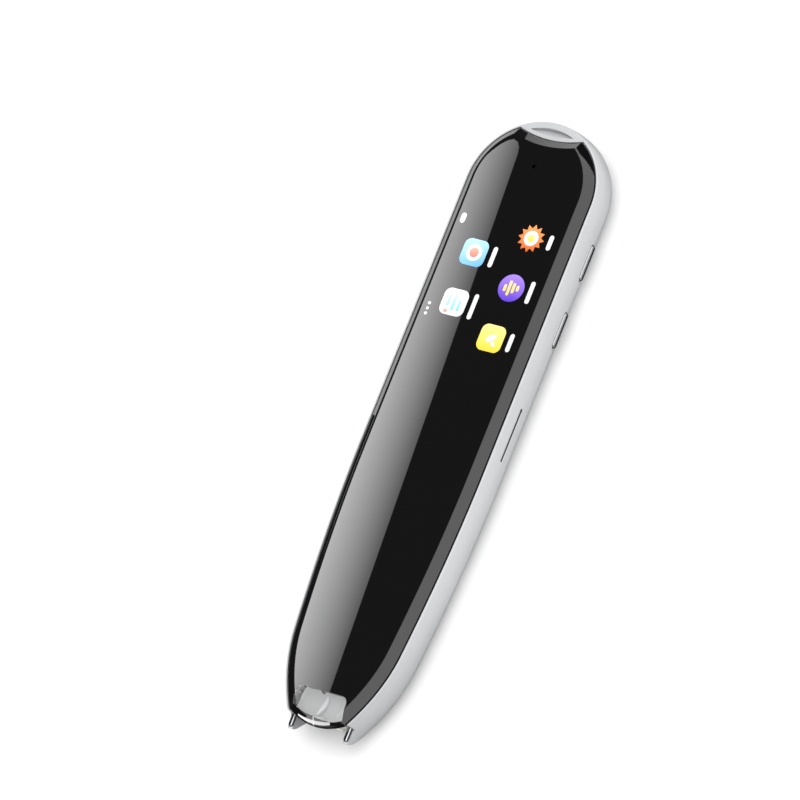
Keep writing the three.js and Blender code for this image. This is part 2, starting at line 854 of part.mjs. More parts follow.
function sideButton(y) {
  const cap = alongX(pillShape(y, buttonZ, buttonLength, buttonHeight), flangeInnerX, buttonFaceX);
  const flangeLength = buttonLength + 2 * flangeMargin;
  const flangeHeight = buttonHeight + 2 * flangeMargin;
  const flange = alongX(
    roundedShape(y, buttonZ, flangeLength, flangeHeight, flangeMargin),
    flangeInnerX,
    flangeOuterX,
  );
  const nib = postX(y, buttonZ, nibRadius, nibEndX, flangeInnerX + flangeThickness / 2);
  return cap.add(flange).add(nib);
}

function sideSwitch(y) {
  const bodyX = switchFrontX - tactPlunger;
  const bottom = boardTopZ + seatGap;
  const body = block(
    [switchBackX, y - tactWidth / 2, bottom],
    [bodyX, y + tactWidth / 2, bottom + tactHeight],
  );
  const plunger = block(
    [bodyX - tactPlunger, y - tactPlungerWidth / 2, buttonZ - nibRadius / 2],
    [switchFrontX, y + tactPlungerWidth / 2, buttonZ + nibRadius / 2],
  );
  return body.add(plunger);
}

// Speaker under the frame, sounding through the slot in the wall

const speakerTopZ = frameBottomZ - seatGap;
const speakerBottomZ = wall + speakerLift;
const speakerOuterX = cavityHalfWidth(slotY, speakerBottomZ) - fitGap - meshThickness;
const meshTopZ = slotZ + slotHeight / 2 + meshMargin;

function speakerBox() {
  const centreX = speakerOuterX - speakerWidth / 2;
  const shape = roundedShape(centreX, slotY, speakerWidth, speakerLength, speakerCorner);
  const port = alongX(
    pillShape(slotY, slotZ, slotLength, slotHeight),
    speakerOuterX - portDepth,
    speakerOuterX + cutOverrun,
  );
  const seat = postZ(centreX, slotY, driverRadius + fitGap, speakerBottomZ - cutOverrun,
    speakerBottomZ + driverSeat, roundSteps);
  return alongZ(shape, speakerBottomZ, speakerTopZ).subtract(port).subtract(seat);
}

function speakerDriver() {
  const centreX = speakerOuterX - speakerWidth / 2;
  const top = speakerBottomZ + driverSeat - seatGap;
  const magnet = driverRadius / 2;
  const basket = postZ(centreX, slotY, driverRadius, top - driverDepth / 2, top, roundSteps);
  return basket.add(postZ(centreX, slotY, magnet, top - driverDepth, top, roundSteps));
}

function speakerMesh() {
  const shape = pillShape(slotY, slotZ, slotLength + 2 * meshMargin, slotHeight + 2 * meshMargin);
  const inner = speakerOuterX + seatGap;
  return alongX(shape, inner, inner + meshThickness);
}

// Scan hood: a black tunnel from the slanted mouth to the camera, with a runner on each skid

function runner(side) {
  const half = runnerWidth / 2;
  const bottom = skidTopZ + seatGap;
  const top = hoodTopZ + runnerRise;
  const crown = Math.min(half, top - bottom);
  const shape = new THREE.Shape();
  shape.moveTo(side * runnerX - half, bottom);
  shape.lineTo(side * runnerX + half, bottom);
  shape.absellipse(side * runnerX, top - crown, half, crown, 0, Math.PI, false);
  return alongY(shape, -skidReach + runnerBackset, hoodRearY);
}

function hoodEars() {
  return hoodScrewPlaces.map(([x, y]) => {
    const middle = Math.sign(x) * runnerX;
    const low = Math.min(x, middle);
    const high = Math.max(x, middle);
    const plate = block([low, hoodRearY - earLength, hoodTopZ - hoodWall], [high, y, hoodTopZ]);
    return plate.add(postZ(x, y, earRadius, hoodTopZ - hoodWall, hoodTopZ));
  });
}

function scanHood() {
  const side = polygon([[hoodFrontTopY, hoodTopZ], [hoodFrontBottomY, hoodBottomZ],
    [hoodRearY, hoodBottomZ], [hoodRearY, hoodTopZ]]);
  const tunnel = block(
    [-hoodHalfWidth + hoodWall, -cutOverrun, hoodBottomZ + hoodWall],
    [hoodHalfWidth - hoodWall, hoodRearY + cutOverrun, hoodTopZ - hoodWall],
  );
  const shade = block([-runnerX, hoodFrontTopY, hoodTopZ - hoodWall],
    [runnerX, hoodRearY, hoodTopZ]);
  const room = wallPlate(wallOut(hoodTopZ, wall) - slideGap, 0, overallThickness, 0, tailCentreY);
  const body = alongX(side, -hoodHalfWidth, hoodHalfWidth).intersect(room);
  const whole = join([body, shade, runner(1), runner(-1), ...hoodEars()]);
  const bores = screwBores(hoodScrewPlaces, hoodTopZ);
  return cutAll(whole, [tunnel, ...bores]);
}

// Sloping sight insert under the clear window, with a raised centre line

function sightInsert() {
  const bottom = hoodTopZ + seatGap;
  const front = glassDeepest + fitGap;
  const back = front + insertLength;
  const highZ = coverUnderZ - ridgeHeight - seatGap;
  const lowZ = highZ - insertFall;
  const ramp = (lift) => polygon([[front, bottom], [back, bottom], [back, lowZ + lift],
    [front, highZ + lift]]);
  const body = alongX(ramp(0), -insertHalfWidth, insertHalfWidth);
  const ridge = alongX(ramp(ridgeHeight), -ridgeWidth / 2, ridgeWidth / 2);
  const nose = postZ(0, noseRadius, noseRadius - front, 0, overallThickness, roundSteps * 2);
  const pocket = wallPlate(-front, bottom, overallThickness, 0, back);
  return body.add(ridge).intersect(nose).intersect(pocket);
}

// Light board, its two lamps, and the camera behind its hole

const ledFrontY = hoodRearY + seatGap;
const lightBoardY = ledFrontY + ledDepth + seatGap;
const snoutFrontY = lightBoardY - fitGap;
const barrelY = lightBoardY + lightBoardThickness + seatGap;
const sensorY = barrelY + barrelLength + seatGap;
const cameraBoardY = sensorY + sensorThickness + seatGap;
const cameraRearY = cameraBoardY + cameraBoardThickness;
const scanBoardBottomZ = hoodBottomZ - seatGap;
const scanBoardTopZ = scanBoardBottomZ + boardThickness;
const barrelRadius = cameraZ - scanBoardTopZ - seatGap;
const sensorHalf = barrelRadius - sideGap;

function lightBoard() {
  const plate = block([-hoodHalfWidth, lightBoardY, scanBoardTopZ + seatGap],
    [hoodHalfWidth, lightBoardY + lightBoardThickness, hoodTopZ]);
  const hole = postY(0, cameraZ, snoutRadius + seatGap, lightBoardY - cutOverrun,
    barrelY + cutOverrun);
  return plate.subtract(hole);
}

function lamp(side) {
  const x = side * ledSpread;
  return block([x - ledSize / 2, ledFrontY, cameraZ - ledSize / 2],
    [x + ledSize / 2, ledFrontY + ledDepth, cameraZ + ledSize / 2]);
}

function cameraBarrel() {
  const snout = postY(0, cameraZ, snoutRadius, snoutFrontY, barrelY + seatGap);
  const tube = postY(0, cameraZ, barrelRadius, barrelY, barrelY + barrelLength, roundSteps);
  const bore = postY(0, cameraZ, barrelBore, snoutFrontY - cutOverrun, sensorY + cutOverrun);
  const seatEnd = snoutFrontY + lensThickness + seatGap;
  const lensSeat = postY(0, cameraZ, lensRadius + seatGap, snoutFrontY - cutOverrun, seatEnd);
  return snout.add(tube).subtract(bore).subtract(lensSeat);
}

function cameraLens() {
  const edge = lensThickness / 4;
  const profile = [new THREE.Vector2(0, 0)];
  for (let k = 1; k <= arcSteps / 2; k += 1) {
    const share = k / (arcSteps / 2);
    profile.push(new THREE.Vector2(lensRadius * share, edge * share ** 2));
  }
  for (let k = arcSteps / 2; k >= 1; k -= 1) {
    const share = k / (arcSteps / 2);
    profile.push(new THREE.Vector2(lensRadius * share, lensThickness - edge * share ** 2));
  }
  profile.push(new THREE.Vector2(0, lensThickness));
  const geometry = new THREE.LatheGeometry(profile, smallRoundSteps);
  geometry.translate(0, snoutFrontY, cameraZ);
  return solidOf(geometry);
}

function imageSensor() {
  return block([-sensorHalf, sensorY, cameraZ - sensorHalf],
    [sensorHalf, sensorY + sensorThickness, cameraZ + sensorHalf]);
}

function cameraBoard() {
  return block([-cameraBoardHalfWidth, cameraBoardY, scanBoardTopZ + seatGap],
    [cameraBoardHalfWidth, cameraRearY, frameBottomZ - flexRoom]);
}

const scanBoardRearY = cameraRearY + seatGap;

function scanBoard() {
  return block([-scanBoardHalfWidth, lightBoardY, scanBoardBottomZ],
    [scanBoardHalfWidth, scanBoardRearY, scanBoardTopZ]);
}

// Scan trigger: a flat slider under the hood, and the switch behind it

// Y of the slanted skid edge at a height, from the same curve as the side profile
function skidEdgeY(z) {
  const tipZ = skidTopZ - skidTipRadius;
  const curve = new THREE.CubicBezierCurve(
    new THREE.Vector2(-skidReach, tipZ),
    new THREE.Vector2(-skidReach, tipZ - skidTipPull),
    new THREE.Vector2(skidFootY - skidFootPull, 0),
    new THREE.Vector2(skidFootY, 0),
  );
  return curve.getPoints(roundSteps).find((point) => point.y <= z).x;
}

const triggerTopZ = triggerBottomZ + triggerThickness;
const triggerTipY = skidEdgeY((triggerBottomZ + triggerTopZ) / 2) - triggerProud;
const triggerSwitchY = lightBoardY + lightBoardThickness;
const triggerRearY = triggerSwitchY - triggerTravel - seatGap;

function scanTrigger() {
  const middleZ = (triggerBottomZ + triggerTopZ) / 2;
  const shape = new THREE.Shape();
  shape.moveTo(triggerTipY + triggerNose, triggerBottomZ);
  shape.lineTo(triggerRearY, triggerBottomZ);
  shape.lineTo(triggerRearY, triggerTopZ);
  shape.lineTo(triggerTipY + triggerNose / 2, triggerTopZ);
  shape.quadraticCurveTo(triggerTipY, triggerTopZ, triggerTipY, middleZ);
  shape.quadraticCurveTo(triggerTipY, triggerBottomZ, triggerTipY + triggerNose, triggerBottomZ);
  return alongX(shape, -triggerHalfWidth, triggerHalfWidth);
}

function triggerSwitch() {
  const top = scanBoardBottomZ - seatGap;
  const bottom = triggerBottomZ;
  const body = block([-tactWidth / 2, triggerSwitchY + tactPlunger, bottom],
    [tactWidth / 2, triggerSwitchY + tactPlunger + tactDepth, top]);
  const plunger = block([-tactPlungerWidth / 2, triggerSwitchY, bottom + seatGap],
    [tactPlungerWidth / 2, triggerSwitchY + 2 * tactPlunger, top - seatGap]);
  return body.add(plunger);
}

// Battery between two ribs, on a foam pad

const frontStop = Math.max(scanBoardRearY, frontScrewY + bossRadius);
const batteryStartY = frontStop + ribThickness + 2 * fitGap;
const batteryEndY = middleScrewY - bossRadius - ribThickness - 2 * fitGap;
const batteryBottomZ = wall + batteryPad + 2 * seatGap;
const batteryTopZ = frameBottomZ - flexRoom;

function battery() {
  const halfWidth = cavityHalfWidth(batteryStartY, batteryBottomZ) - fitGap;
  const height = batteryTopZ - batteryBottomZ;
  const middleZ = (batteryTopZ + batteryBottomZ) / 2;
  const shape = roundedShape(0, middleZ, 2 * halfWidth, height, batteryCorner);
  return alongY(shape, batteryStartY, batteryEndY);
}

function batteryFoam() {
  const half = cavityHalfWidth(batteryStartY, wall) - batteryPadMargin;
  return block([-half, batteryStartY + batteryPadMargin, wall + seatGap],
    [half, batteryEndY - batteryPadMargin, wall + seatGap + batteryPad]);
}

// Main board and what sits on it

function mainBoard() {
  const out = wallOut(boardBottomZ, wall) - fitGap;
  const plate = wallPlate(out, boardBottomZ, boardTopZ, boardStartY, tailCentreY + boardReach);
  const notches = frameScrewPlaces.map(([x, y]) => postZ(x, y, bossRadius + fitGap,
    boardBottomZ - cutOverrun, boardTopZ + cutOverrun));
  const pegHoles = pegPlaces.map(([x, y]) => postZ(x, y, pegRadius + sideGap,
    boardBottomZ - cutOverrun, boardTopZ + cutOverrun));
  return cutAll(plate, [...notches, ...pegHoles]);
}

function shieldCan(y, length, halfWidth) {
  const bottom = boardTopZ + seatGap;
  return alongZ(roundedShape(0, y, 2 * halfWidth, length, fitGap), bottom, bottom + canHeight);
}

// Flat cables side by side, and the connectors under their ends
const cameraFlexX = -flexSpacing - flexWidth;
const displayFlexX = cameraFlexX - flexSpacing - flexWidth;
const displayStartY = displayY - displayLength / 2;
const displayFlexY = displayStartY - flexSlotLength;
const cameraConnectorY = boardStartY + connectorLength;
const displayConnectorY = Math.max(displayFlexY, boardStartY) + connectorLength;
const connectorTopZ = boardTopZ + seatGap + connectorHeight;

function connector(x, y) {
  return block([x, y, boardTopZ + seatGap], [x + flexWidth, y + connectorLength, connectorTopZ]);
}

// Along under the frame from the camera board, then down to the main board
function cameraFlex() {
  const top = batteryTopZ + flexRoom / 2 + flexThickness / 2;
  const low = top - flexThickness;
  const end = cameraConnectorY + connectorLength / 2;
  const start = cameraRearY + seatGap;
  const foot = connectorTopZ + seatGap;
  const shape = polygon([[start, cameraZ], [start + flexThickness, cameraZ],
    [start + flexThickness, low], [end - flexThickness, low], [end - flexThickness, foot],
    [end, foot], [end, top], [start, top]]);
  return alongX(shape, cameraFlexX, cameraFlexX + flexWidth);
}

// Out of the panel, down through the frame, and back over the connector
function displayFlex() {
  const top = panelTopZ - panelThickness / 2;
  const foot = connectorTopZ + seatGap;
  const start = displayStartY - seatGap;
  const end = displayConnectorY + connectorLength;
  const back = displayFlexY + flexThickness;
  const shape = polygon([[displayFlexY, foot], [end, foot], [end, foot + flexThickness],
    [back, foot + flexThickness], [back, top - flexThickness], [start, top - flexThickness],
    [start, top], [displayFlexY, top]]);
  return alongX(shape, displayFlexX, displayFlexX + flexWidth);
}

// Charging socket: a pill-shaped shell, closed at its back, with a tongue

function chargingSocket() {
  const front = tailTipY + wallOut(portZ, wall) - seatGap;
  const rear = front - portLength;
  const shell = alongY(pillShape(0, portZ, portWidth, portHeight), rear, front);
  const inside = pillShape(0, portZ, portWidth - 2 * portShell, portHeight - 2 * portShell);
  const hollow = alongY(inside, rear + portShell, front + cutOverrun);
  const tongue = block(
    [-tongueWidth / 2, rear, portZ - tongueThickness / 2],
    [tongueWidth / 2, front - cutOverrun, portZ + tongueThickness / 2],
  );
  return shell.subtract(hollow).add(tongue);
}

// Microphone on the frame, sealed to the hole in the glass

function microphone() {
  const bottom = frameTopZ + seatGap;
  return block([-micSize / 2, micHoleY - micSize / 2, bottom],
    [micSize / 2, micHoleY + micSize / 2, bottom + micHeight]);
}

function micGasket() {
  const bottom = frameTopZ + micHeight + 2 * seatGap;
  const ring = postZ(0, micHoleY, gasketRadius, bottom, coverUnderZ - seatGap, roundSteps);
  return ring.subtract(postZ(0, micHoleY, micHoleRadius, bottom - cutOverrun, overallThickness));
}

// Finishes

const finishes = {
  shell: { color: 0xf3f4f5, roughness: 0.32, metalness: 0 },
  glass: { color: 0x0b0c0e, roughness: 0.06, metalness: 0 },
  blackPlastic: { color: 0x17181a, roughness: 0.4, metalness: 0 },
  clearPlastic: { color: 0xc9ccd0, roughness: 0.25, metalness: 0 },
  satinMetal: { color: 0x9fa3a8, roughness: 0.35, metalness: 0.8 },
  steel: { color: 0xb9bcc0, roughness: 0.3, metalness: 1 },
  board: { color: 0x1f5a3c, roughness: 0.5, metalness: 0 },
  foil: { color: 0xc4c7cb, roughness: 0.45, metalness: 0.6 },
  amber: { color: 0xb8741f, roughness: 0.45, metalness: 0 },
  rubber: { color: 0x2a2b2d, roughness: 0.9, metalness: 0 },
  lamp: { color: 0xf6f2dc, roughness: 0.3, metalness: 0 },
  lens: { color: 0x31414d, roughness: 0.05, metalness: 0 },
};

const assembly = new THREE.Group();
const pen = new THREE.Group();
pen.position.set(0, -restCentreY, 0);
assembly.add(pen);

function addPiece(name, solid, finish) {
  const mesh = new THREE.Mesh(geometryOf(solid), new THREE.MeshStandardMaterial(finishes[finish]));
  mesh.name = name;
  pen.add(mesh);
}

addPiece('rear_housing', rearHousing(), 'shell');
addPiece('front_glass', frontGlass(), 'glass');
addPiece('inner_frame', innerFrame(), 'blackPlastic');
addPiece('touch_sheet', displayLayer(touchTopZ, touchThickness, 0), 'lens');
addPiece('display_panel', displayLayer(panelTopZ, panelThickness, fitGap), 'glass');
addPiece('display_backlight', displayLayer(backlightTopZ, backlightThickness, fitGap), 'steel');
addPiece('display_flex', displayFlex(), 'amber');
addPiece('display_connector', connector(displayFlexX, displayConnectorY), 'blackPlastic');
addPiece('camera_connector', connector(cameraFlexX, cameraConnectorY), 'blackPlastic');
addPiece('main_board', mainBoard(), 'board');
const processorHalfWidth = switchBackX - shieldMargin;
addPiece('processor_shield', shieldCan(processorY, processorLength, processorHalfWidth), 'steel');
addPiece('radio_shield', shieldCan(radioY, radioLength, radioHalfWidth), 'steel');
addPiece('charging_socket', chargingSocket(), 'steel');
addPiece('battery', battery(), 'foil');
addPiece('battery_foam', batteryFoam(), 'rubber');
addPiece('camera_flex', cameraFlex(), 'amber');
addPiece('power_button', sideButton(powerButtonY), 'satinMetal');
addPiece('function_button', sideButton(functionButtonY), 'satinMetal');
addPiece('power_switch', sideSwitch(powerButtonY), 'steel');
addPiece('function_switch', sideSwitch(functionButtonY), 'steel');
addPiece('speaker_box', speakerBox(), 'blackPlastic');
addPiece('speaker_driver', speakerDriver(), 'steel');
addPiece('speaker_mesh', speakerMesh(), 'rubber');
addPiece('scan_hood', scanHood(), 'blackPlastic');
addPiece('sight_insert', sightInsert(), 'clearPlastic');
addPiece('light_board', lightBoard(), 'board');
addPiece('lamp_right', lamp(1), 'lamp');
addPiece('lamp_left', lamp(-1), 'lamp');
addPiece('camera_barrel', cameraBarrel(), 'blackPlastic');
addPiece('camera_lens', cameraLens(), 'lens');
addPiece('image_sensor', imageSensor(), 'lens');
addPiece('camera_board', cameraBoard(), 'board');
addPiece('scan_board', scanBoard(), 'board');
addPiece('scan_trigger', scanTrigger(), 'blackPlastic');
addPiece('trigger_switch', triggerSwitch(), 'steel');
addPiece('microphone', microphone(), 'steel');
addPiece('mic_gasket', micGasket(), 'rubber');
frameScrewPlaces.forEach(([x, y], i) => {
  addPiece(`frame_screw_${i + 1}`, screw(x, y, frameHeadZ), 'steel');
});
hoodScrewPlaces.forEach(([x, y], i) => {
  addPiece(`hood_screw_${i + 1}`, screw(x, y, hoodTopZ + seatGap), 'steel');
});

export default assembly;
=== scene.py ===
# %% [markdown]
# A scanning pen, dressed for its picture. A white moulded casing lies on its back, a black cover
# glass with a lit display closes its front, and the reading head looks out between two skids at
# the nose. The solids come from the CAD model, which this script loads as a fixed frame. Each
# cell below makes one finer piece, or one finish, in the same place.

# %% Load the frame
import json
import math

import bmesh
import bpy
import numpy as np
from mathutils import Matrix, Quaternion, Vector


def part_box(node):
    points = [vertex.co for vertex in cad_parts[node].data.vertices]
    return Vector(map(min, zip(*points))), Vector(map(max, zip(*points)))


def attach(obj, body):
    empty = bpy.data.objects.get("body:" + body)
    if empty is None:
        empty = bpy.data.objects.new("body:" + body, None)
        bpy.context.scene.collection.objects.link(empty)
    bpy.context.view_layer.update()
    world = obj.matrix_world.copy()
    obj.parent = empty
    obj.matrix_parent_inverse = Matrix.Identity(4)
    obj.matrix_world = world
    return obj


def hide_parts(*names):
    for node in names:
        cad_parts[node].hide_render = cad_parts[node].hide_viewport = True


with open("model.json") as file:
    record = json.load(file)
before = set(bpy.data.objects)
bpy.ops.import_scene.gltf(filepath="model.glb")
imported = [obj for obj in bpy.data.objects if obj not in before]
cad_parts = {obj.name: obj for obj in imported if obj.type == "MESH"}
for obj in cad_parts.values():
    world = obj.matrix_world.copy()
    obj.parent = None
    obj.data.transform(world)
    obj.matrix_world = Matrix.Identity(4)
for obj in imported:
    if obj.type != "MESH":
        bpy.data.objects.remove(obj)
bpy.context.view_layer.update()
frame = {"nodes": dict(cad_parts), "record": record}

# %% [markdown]
# The sizes are in millimetres, as a maker draws them: Y is zero on the nose end of the glass, Z on
# the back, X is the width, and the side buttons are at +X. The few sizes that the loaded solids
# give are read from their boxes. One function turns a place on the drawing into metres.

# %% Driving sizes in millimetres
MM = 0.001
glass_gap = 0.25
glass_low, glass_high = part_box("front_glass")
zero_y = glass_low.y / MM - glass_gap
body_half = glass_high.x / MM + glass_gap
thickness = glass_high.z / MM
overrun = 1.0

tail_centre = 136.1
straight_start = 67.8
shoulder_share = 0.86
shoulder_y = 21.5
taper_bend_share = 0.545
nose_half = 7.85
nose_rise = 2.25
nose_slope_share = 0.62
skid_half_span = 7.45
skid_reach = 1.05
skid_bend_share = 0.426
bite_half_chord = 8.75
bite_depth = 1.45

rim_z = thickness - 2.0
rear_radius = 5.6
bulge = 1.0
lip = 0.4
wall = 1.3
tail_tip = tail_centre + body_half

nose_radius = (nose_half**2 + nose_rise**2) / (2 * nose_rise)
bite_radius = (bite_half_chord**2 + bite_depth**2) / (2 * bite_depth)
bite_corner = tail_centre + math.sqrt(body_half**2 - bite_half_chord**2)
bite_centre = bite_corner - bite_depth + bite_radius


def place(x, y, z):
    """A place on the drawing, in metres in the frame."""
    return Vector((x, y + zero_y, z)) * MM


print("half width", round(body_half, 2), "thickness", round(thickness, 2), "zero", round(zero_y, 2))

# %% [markdown]
# The camera comes before the pieces, because every piece is judged through it. The photograph was
# taken from the right and a little in front, from well above, through a long lens, and the camera
# was rolled so that the pen leans across the picture. The lens data holds its focal length, which
# the distance and the width of the field give.

# %% Camera
view_azimuth = math.radians(68.36)
view_elevation = math.radians(56.14)
view_roll = 49.83
view_distance = 2376.0
view_field = 185.36
view_target = place(-11.37, 80.0, rim_z)


def new_object(name, data):
    """An object in the scene, for a mesh, a lamp or the camera."""
    piece = bpy.data.objects.new(name, data)
    bpy.context.scene.collection.objects.link(piece)
    return piece


# At azimuth 0 the camera stands in front of the nose
towards_camera = Vector((math.sin(view_azimuth) * math.cos(view_elevation),
                         -math.cos(view_azimuth) * math.cos(view_elevation),
                         math.sin(view_elevation)))
optics = bpy.data.cameras.new("camera")
optics.sensor_width = 36.0
optics.lens = optics.sensor_width * view_distance / view_field
optics.clip_start = 0.05
optics.clip_end = 20.0
camera = new_object("camera", optics)
camera.location = view_target + towards_camera * view_distance * MM
camera.rotation_mode = "QUATERNION"
roll = Quaternion((0, 0, 1), -math.radians(view_roll))
camera.rotation_quaternion = towards_camera.to_track_quat("Z", "Y") @ roll
bpy.context.scene.camera = camera
bpy.context.scene.view_settings.view_transform = "Standard"
print("lens", round(optics.lens, 1), "mm")

# %% [markdown]
# Colours are chosen as hex values, as on a screen, and Blender's shaders want linear light, so one
# function converts them. A second one adds a node, sets its inputs by name and links what is given
# as a socket. Most finishes have the same layers, which a third lays, so that only real values
# differ from cell to cell.

# %% Colour and node helpers


def linear(code, alpha=1.0):
    """An sRGB hex colour as linear light."""
    channels = [int(code[i : i + 2], 16) / 255 for i in (1, 3, 5)]
    light = [c / 12.92 if c <= 0.04045 else ((c + 0.055) / 1.055) ** 2.4 for c in channels]
    return (*light, alpha)


def add(tree, kind, inputs=None, **settings):
    """Adds a node with its settings; its inputs take numbers, colours or sockets."""
    node = tree.nodes.new("ShaderNode" + kind)
    for name, value in settings.items():
        setattr(node, name, value)
    for name, value in (inputs or {}).items():
        if isinstance(value, bpy.types.NodeSocket):
            tree.links.new(value, node.inputs[name])
        else:
            node.inputs[name].default_value = value
    return node


print("mid grey is", round(linear("#808080")[0], 3), "in linear light")

# %% Material helpers


def new_material(name, kind="BsdfPrincipled", **sockets):
    """A material with one shader; returns it with its tree and that shader."""
    material = bpy.data.materials.new(name)
    material.use_nodes = True
    tree = material.node_tree
    tree.nodes.clear()
    values = {key.replace("_", " "): value for key, value in sockets.items()}
    shader = add(tree, kind, values)
    add(tree, "OutputMaterial", {"Surface": shader.outputs[0]})
    return material, tree, shader


def surface(name, dark, light, patch_mm, rough, grain_mm, relief_mm, detail=2.0, **sockets):
    """A finish: two colours in soft patches, and a grain that varies gloss and stands in relief."""
    material, tree, shader = new_material(name, **sockets)
    where = add(tree, "TexCoord").outputs["Object"]
    patches, grain = (
        add(tree, "TexNoise",
            {"Vector": where, "Scale": 1 / (size * MM), "Detail": detail}).outputs[0]
        for size in (patch_mm, grain_mm))
    colour = add(tree, "Mix", {"Factor": patches, "A": linear(dark), "B": linear(light)},
                 data_type="RGBA")
    gloss = add(tree, "MapRange", {"Value": grain, "To Min": rough[0], "To Max": rough[1]})
    tree.links.new(colour.outputs["Result"], shader.inputs["Base Color"])
    tree.links.new(gloss.outputs[0], shader.inputs["Roughness"])
    if relief_mm:
        bump = add(tree, "Bump", {"Height": grain, "Distance": relief_mm * MM, "Strength": 1.0})
        tree.links.new(bump.outputs[0], shader.inputs["Normal"])
    return material


white_light = linear("#FFFFFF")
print("material helpers ready")

# %% [markdown]
# The finish of the casing. The real one is a white ABS, injection moulded against a polished tool,
# so it is glossy but not a mirror, with a faint orange peel from the melt. White pigment spreads
# light well, and an IOR of 1.5 gives the sheen. The lumps of the peel are about 1.5 mm across.
# Shade
# is painted into its colour: it turns grey towards the nose and the floor, and fades out up the
# wall.

# %% Material: gloss moulded white ABS
white_abs = surface("gloss_moulded_white_abs", "#B7B8BA", "#BEBFC1", 14.0, (0.26, 0.34), 1.5,
                    0.004, IOR=1.5)
# Painted shade: the casing's colour is mixed towards #A4A5A7 near the nose and the floor, fading
# out up the wall.
painted_shade_rise = (0.0, 0.8, 0.9)
painted_shade_start = (zero_y * painted_shade_rise[1] + 3.5) * MM
painted_shade_end = painted_shade_start + 34.0 * MM
abs_tree = white_abs.node_tree
abs_colour = abs_tree.nodes["Principled BSDF"].inputs["Base Color"]
abs_unshaded_colour = abs_colour.links[0].from_socket
abs_place = add(abs_tree, "TexCoord").outputs["Object"]
up_the_nose = add(abs_tree, "VectorMath", {0: abs_place, 1: painted_shade_rise}, operation="DOT_PRODUCT")
painted_shade_fade = add(abs_tree, "MapRange", {"Value": up_the_nose.outputs["Value"],
                                      "From Min": painted_shade_start, "From Max": painted_shade_end})
abs_painted_shade = add(abs_tree, "Mix", {"Factor": painted_shade_fade.outputs[0], "A": linear("#A4A5A7"),
                                   "B": abs_unshaded_colour}, data_type="RGBA")
abs_tree.links.new(abs_painted_shade.outputs["Result"], abs_colour)
print("made", white_abs.name)

# %% [markdown]
# The cover is chemically hardened glass, ground to a bevel and printed black from behind. Seen
# from the front it is a black mirror of four per cent, so almost all of its look is what it
# reflects. Polished glass has next to no roughness; a faint smear from fingers, in patches of
# about 20 mm, changes it a little.

# %% Material: black printed cover glass
black_glass = surface("black_printed_cover_glass", "#0B0B0C", "#0D0D0E", 22.0, (0.001, 0.006),
                      22.0, 0, 4.0, IOR=1.51)
print("made", black_glass.name)

# %% [markdown]
# Each shaped piece is a skin over rings of points, as a loft is in CAD: level slices of the
# casing, insets of the glass, or a pill that grows. It is closed at both ends, so that it can also
# be used as a cutter.

# %% Mesh helpers


def solid(name, rings):
    """A closed skin over rings of equal count, given on the drawing."""
    count = len(rings[0])
    faces = []
    for level in range(len(rings) - 1):
        for i in range(count):
            a = level * count + i
            b = level * count + (i + 1) % count
            faces.append((a, b, b + count, a + count))
    last = (len(rings) - 1) * count
    faces.append(tuple(reversed(range(count))))
    faces.append(tuple(range(last, last + count)))
    mesh = bpy.data.meshes.new(name)
    mesh.from_pydata([place(*point) for ring in rings for point in ring], [], faces)
    form = bmesh.new()
    form.from_mesh(mesh)
    bmesh.ops.recalc_face_normals(form, faces=form.faces)
    form.to_mesh(mesh)
    form.free()
    return new_object(name, mesh)


def ring_x(outline, x):
    """An outline of Y and Z at one X; the next two set one of X and Z, and one of X and Y."""
    return [(x, u, v) for u, v in outline]


def ring_y(outline, y):
    return [(u, y, v) for u, v in outline]


def ring_z(outline, z):
    return [(u, v, z) for u, v in outline]


def arc(centre, radius, start, end, steps):
    """Points on an arc, with its angles in degrees."""
    angles = np.radians(np.linspace(start, end, steps + 1))
    return [(centre[0] + radius * math.cos(a), centre[1] + radius * math.sin(a)) for a in angles]


print("mesh helpers ready")

# %% [markdown]
# The outline of the pen from above: straight skids, a flare to the shoulder, a slow taper to the
# straight sides, and a round tail. Each point keeps its outward direction, so that the outline can
# be pushed in or out for walls and insets.

# %% Plan outline


def bezier(points, steps, endpoint=False):
    """Points on the Bezier curve of its control points."""
    t = np.linspace(0, 1, steps, endpoint=endpoint)[:, None]
    last = len(points) - 1
    return sum(math.comb(last, k) * (1 - t) ** (last - k) * t**k * np.array(point)
               for k, point in enumerate(points))


corner = (nose_half, nose_rise)
shoulder = (shoulder_share * body_half, shoulder_y)
straight = (body_half, straight_start)
bend = nose_rise - skid_bend_share * (nose_rise + skid_reach)
skid_end = (skid_half_span, 2 * bend - nose_rise)
taper_y = shoulder_y + taper_bend_share * (straight_start - shoulder_y)
slope = (body_half - shoulder[0]) / (taper_y - shoulder_y)
rise = shoulder[0] - nose_half + nose_slope_share * nose_rise - slope * shoulder_y
flare_y = rise / (nose_slope_share - slope)
flare = (nose_half + nose_slope_share * (flare_y - nose_rise), flare_y)
outline = np.vstack([
    bezier([(skid_half_span, -skid_reach - overrun), skid_end], 3),
    bezier([skid_end, (skid_half_span, bend), corner], 8),
    bezier([corner, flare, shoulder], 26),
    bezier([shoulder, (body_half, taper_y), straight], 18),
    bezier([straight, (body_half, tail_centre)], 16),
    arc((0, tail_centre), body_half, 0, 90, 48),
])
tangents = np.gradient(outline, axis=0)
tangents[-1] = (-1, 0)
tangents /= np.linalg.norm(tangents, axis=1)[:, None]
outward = np.column_stack([tangents[:, 1], -tangents[:, 0]])


def both_sides(right):
    """A right half from the nose to the tail, closed by its mirror image."""
    return np.vstack([right, right[-2::-1] * (-1, 1)])


def plan_ring(out, z):
    return ring_z(both_sides(outline + outward * out), z)


print("outline", len(outline), "points on each side")

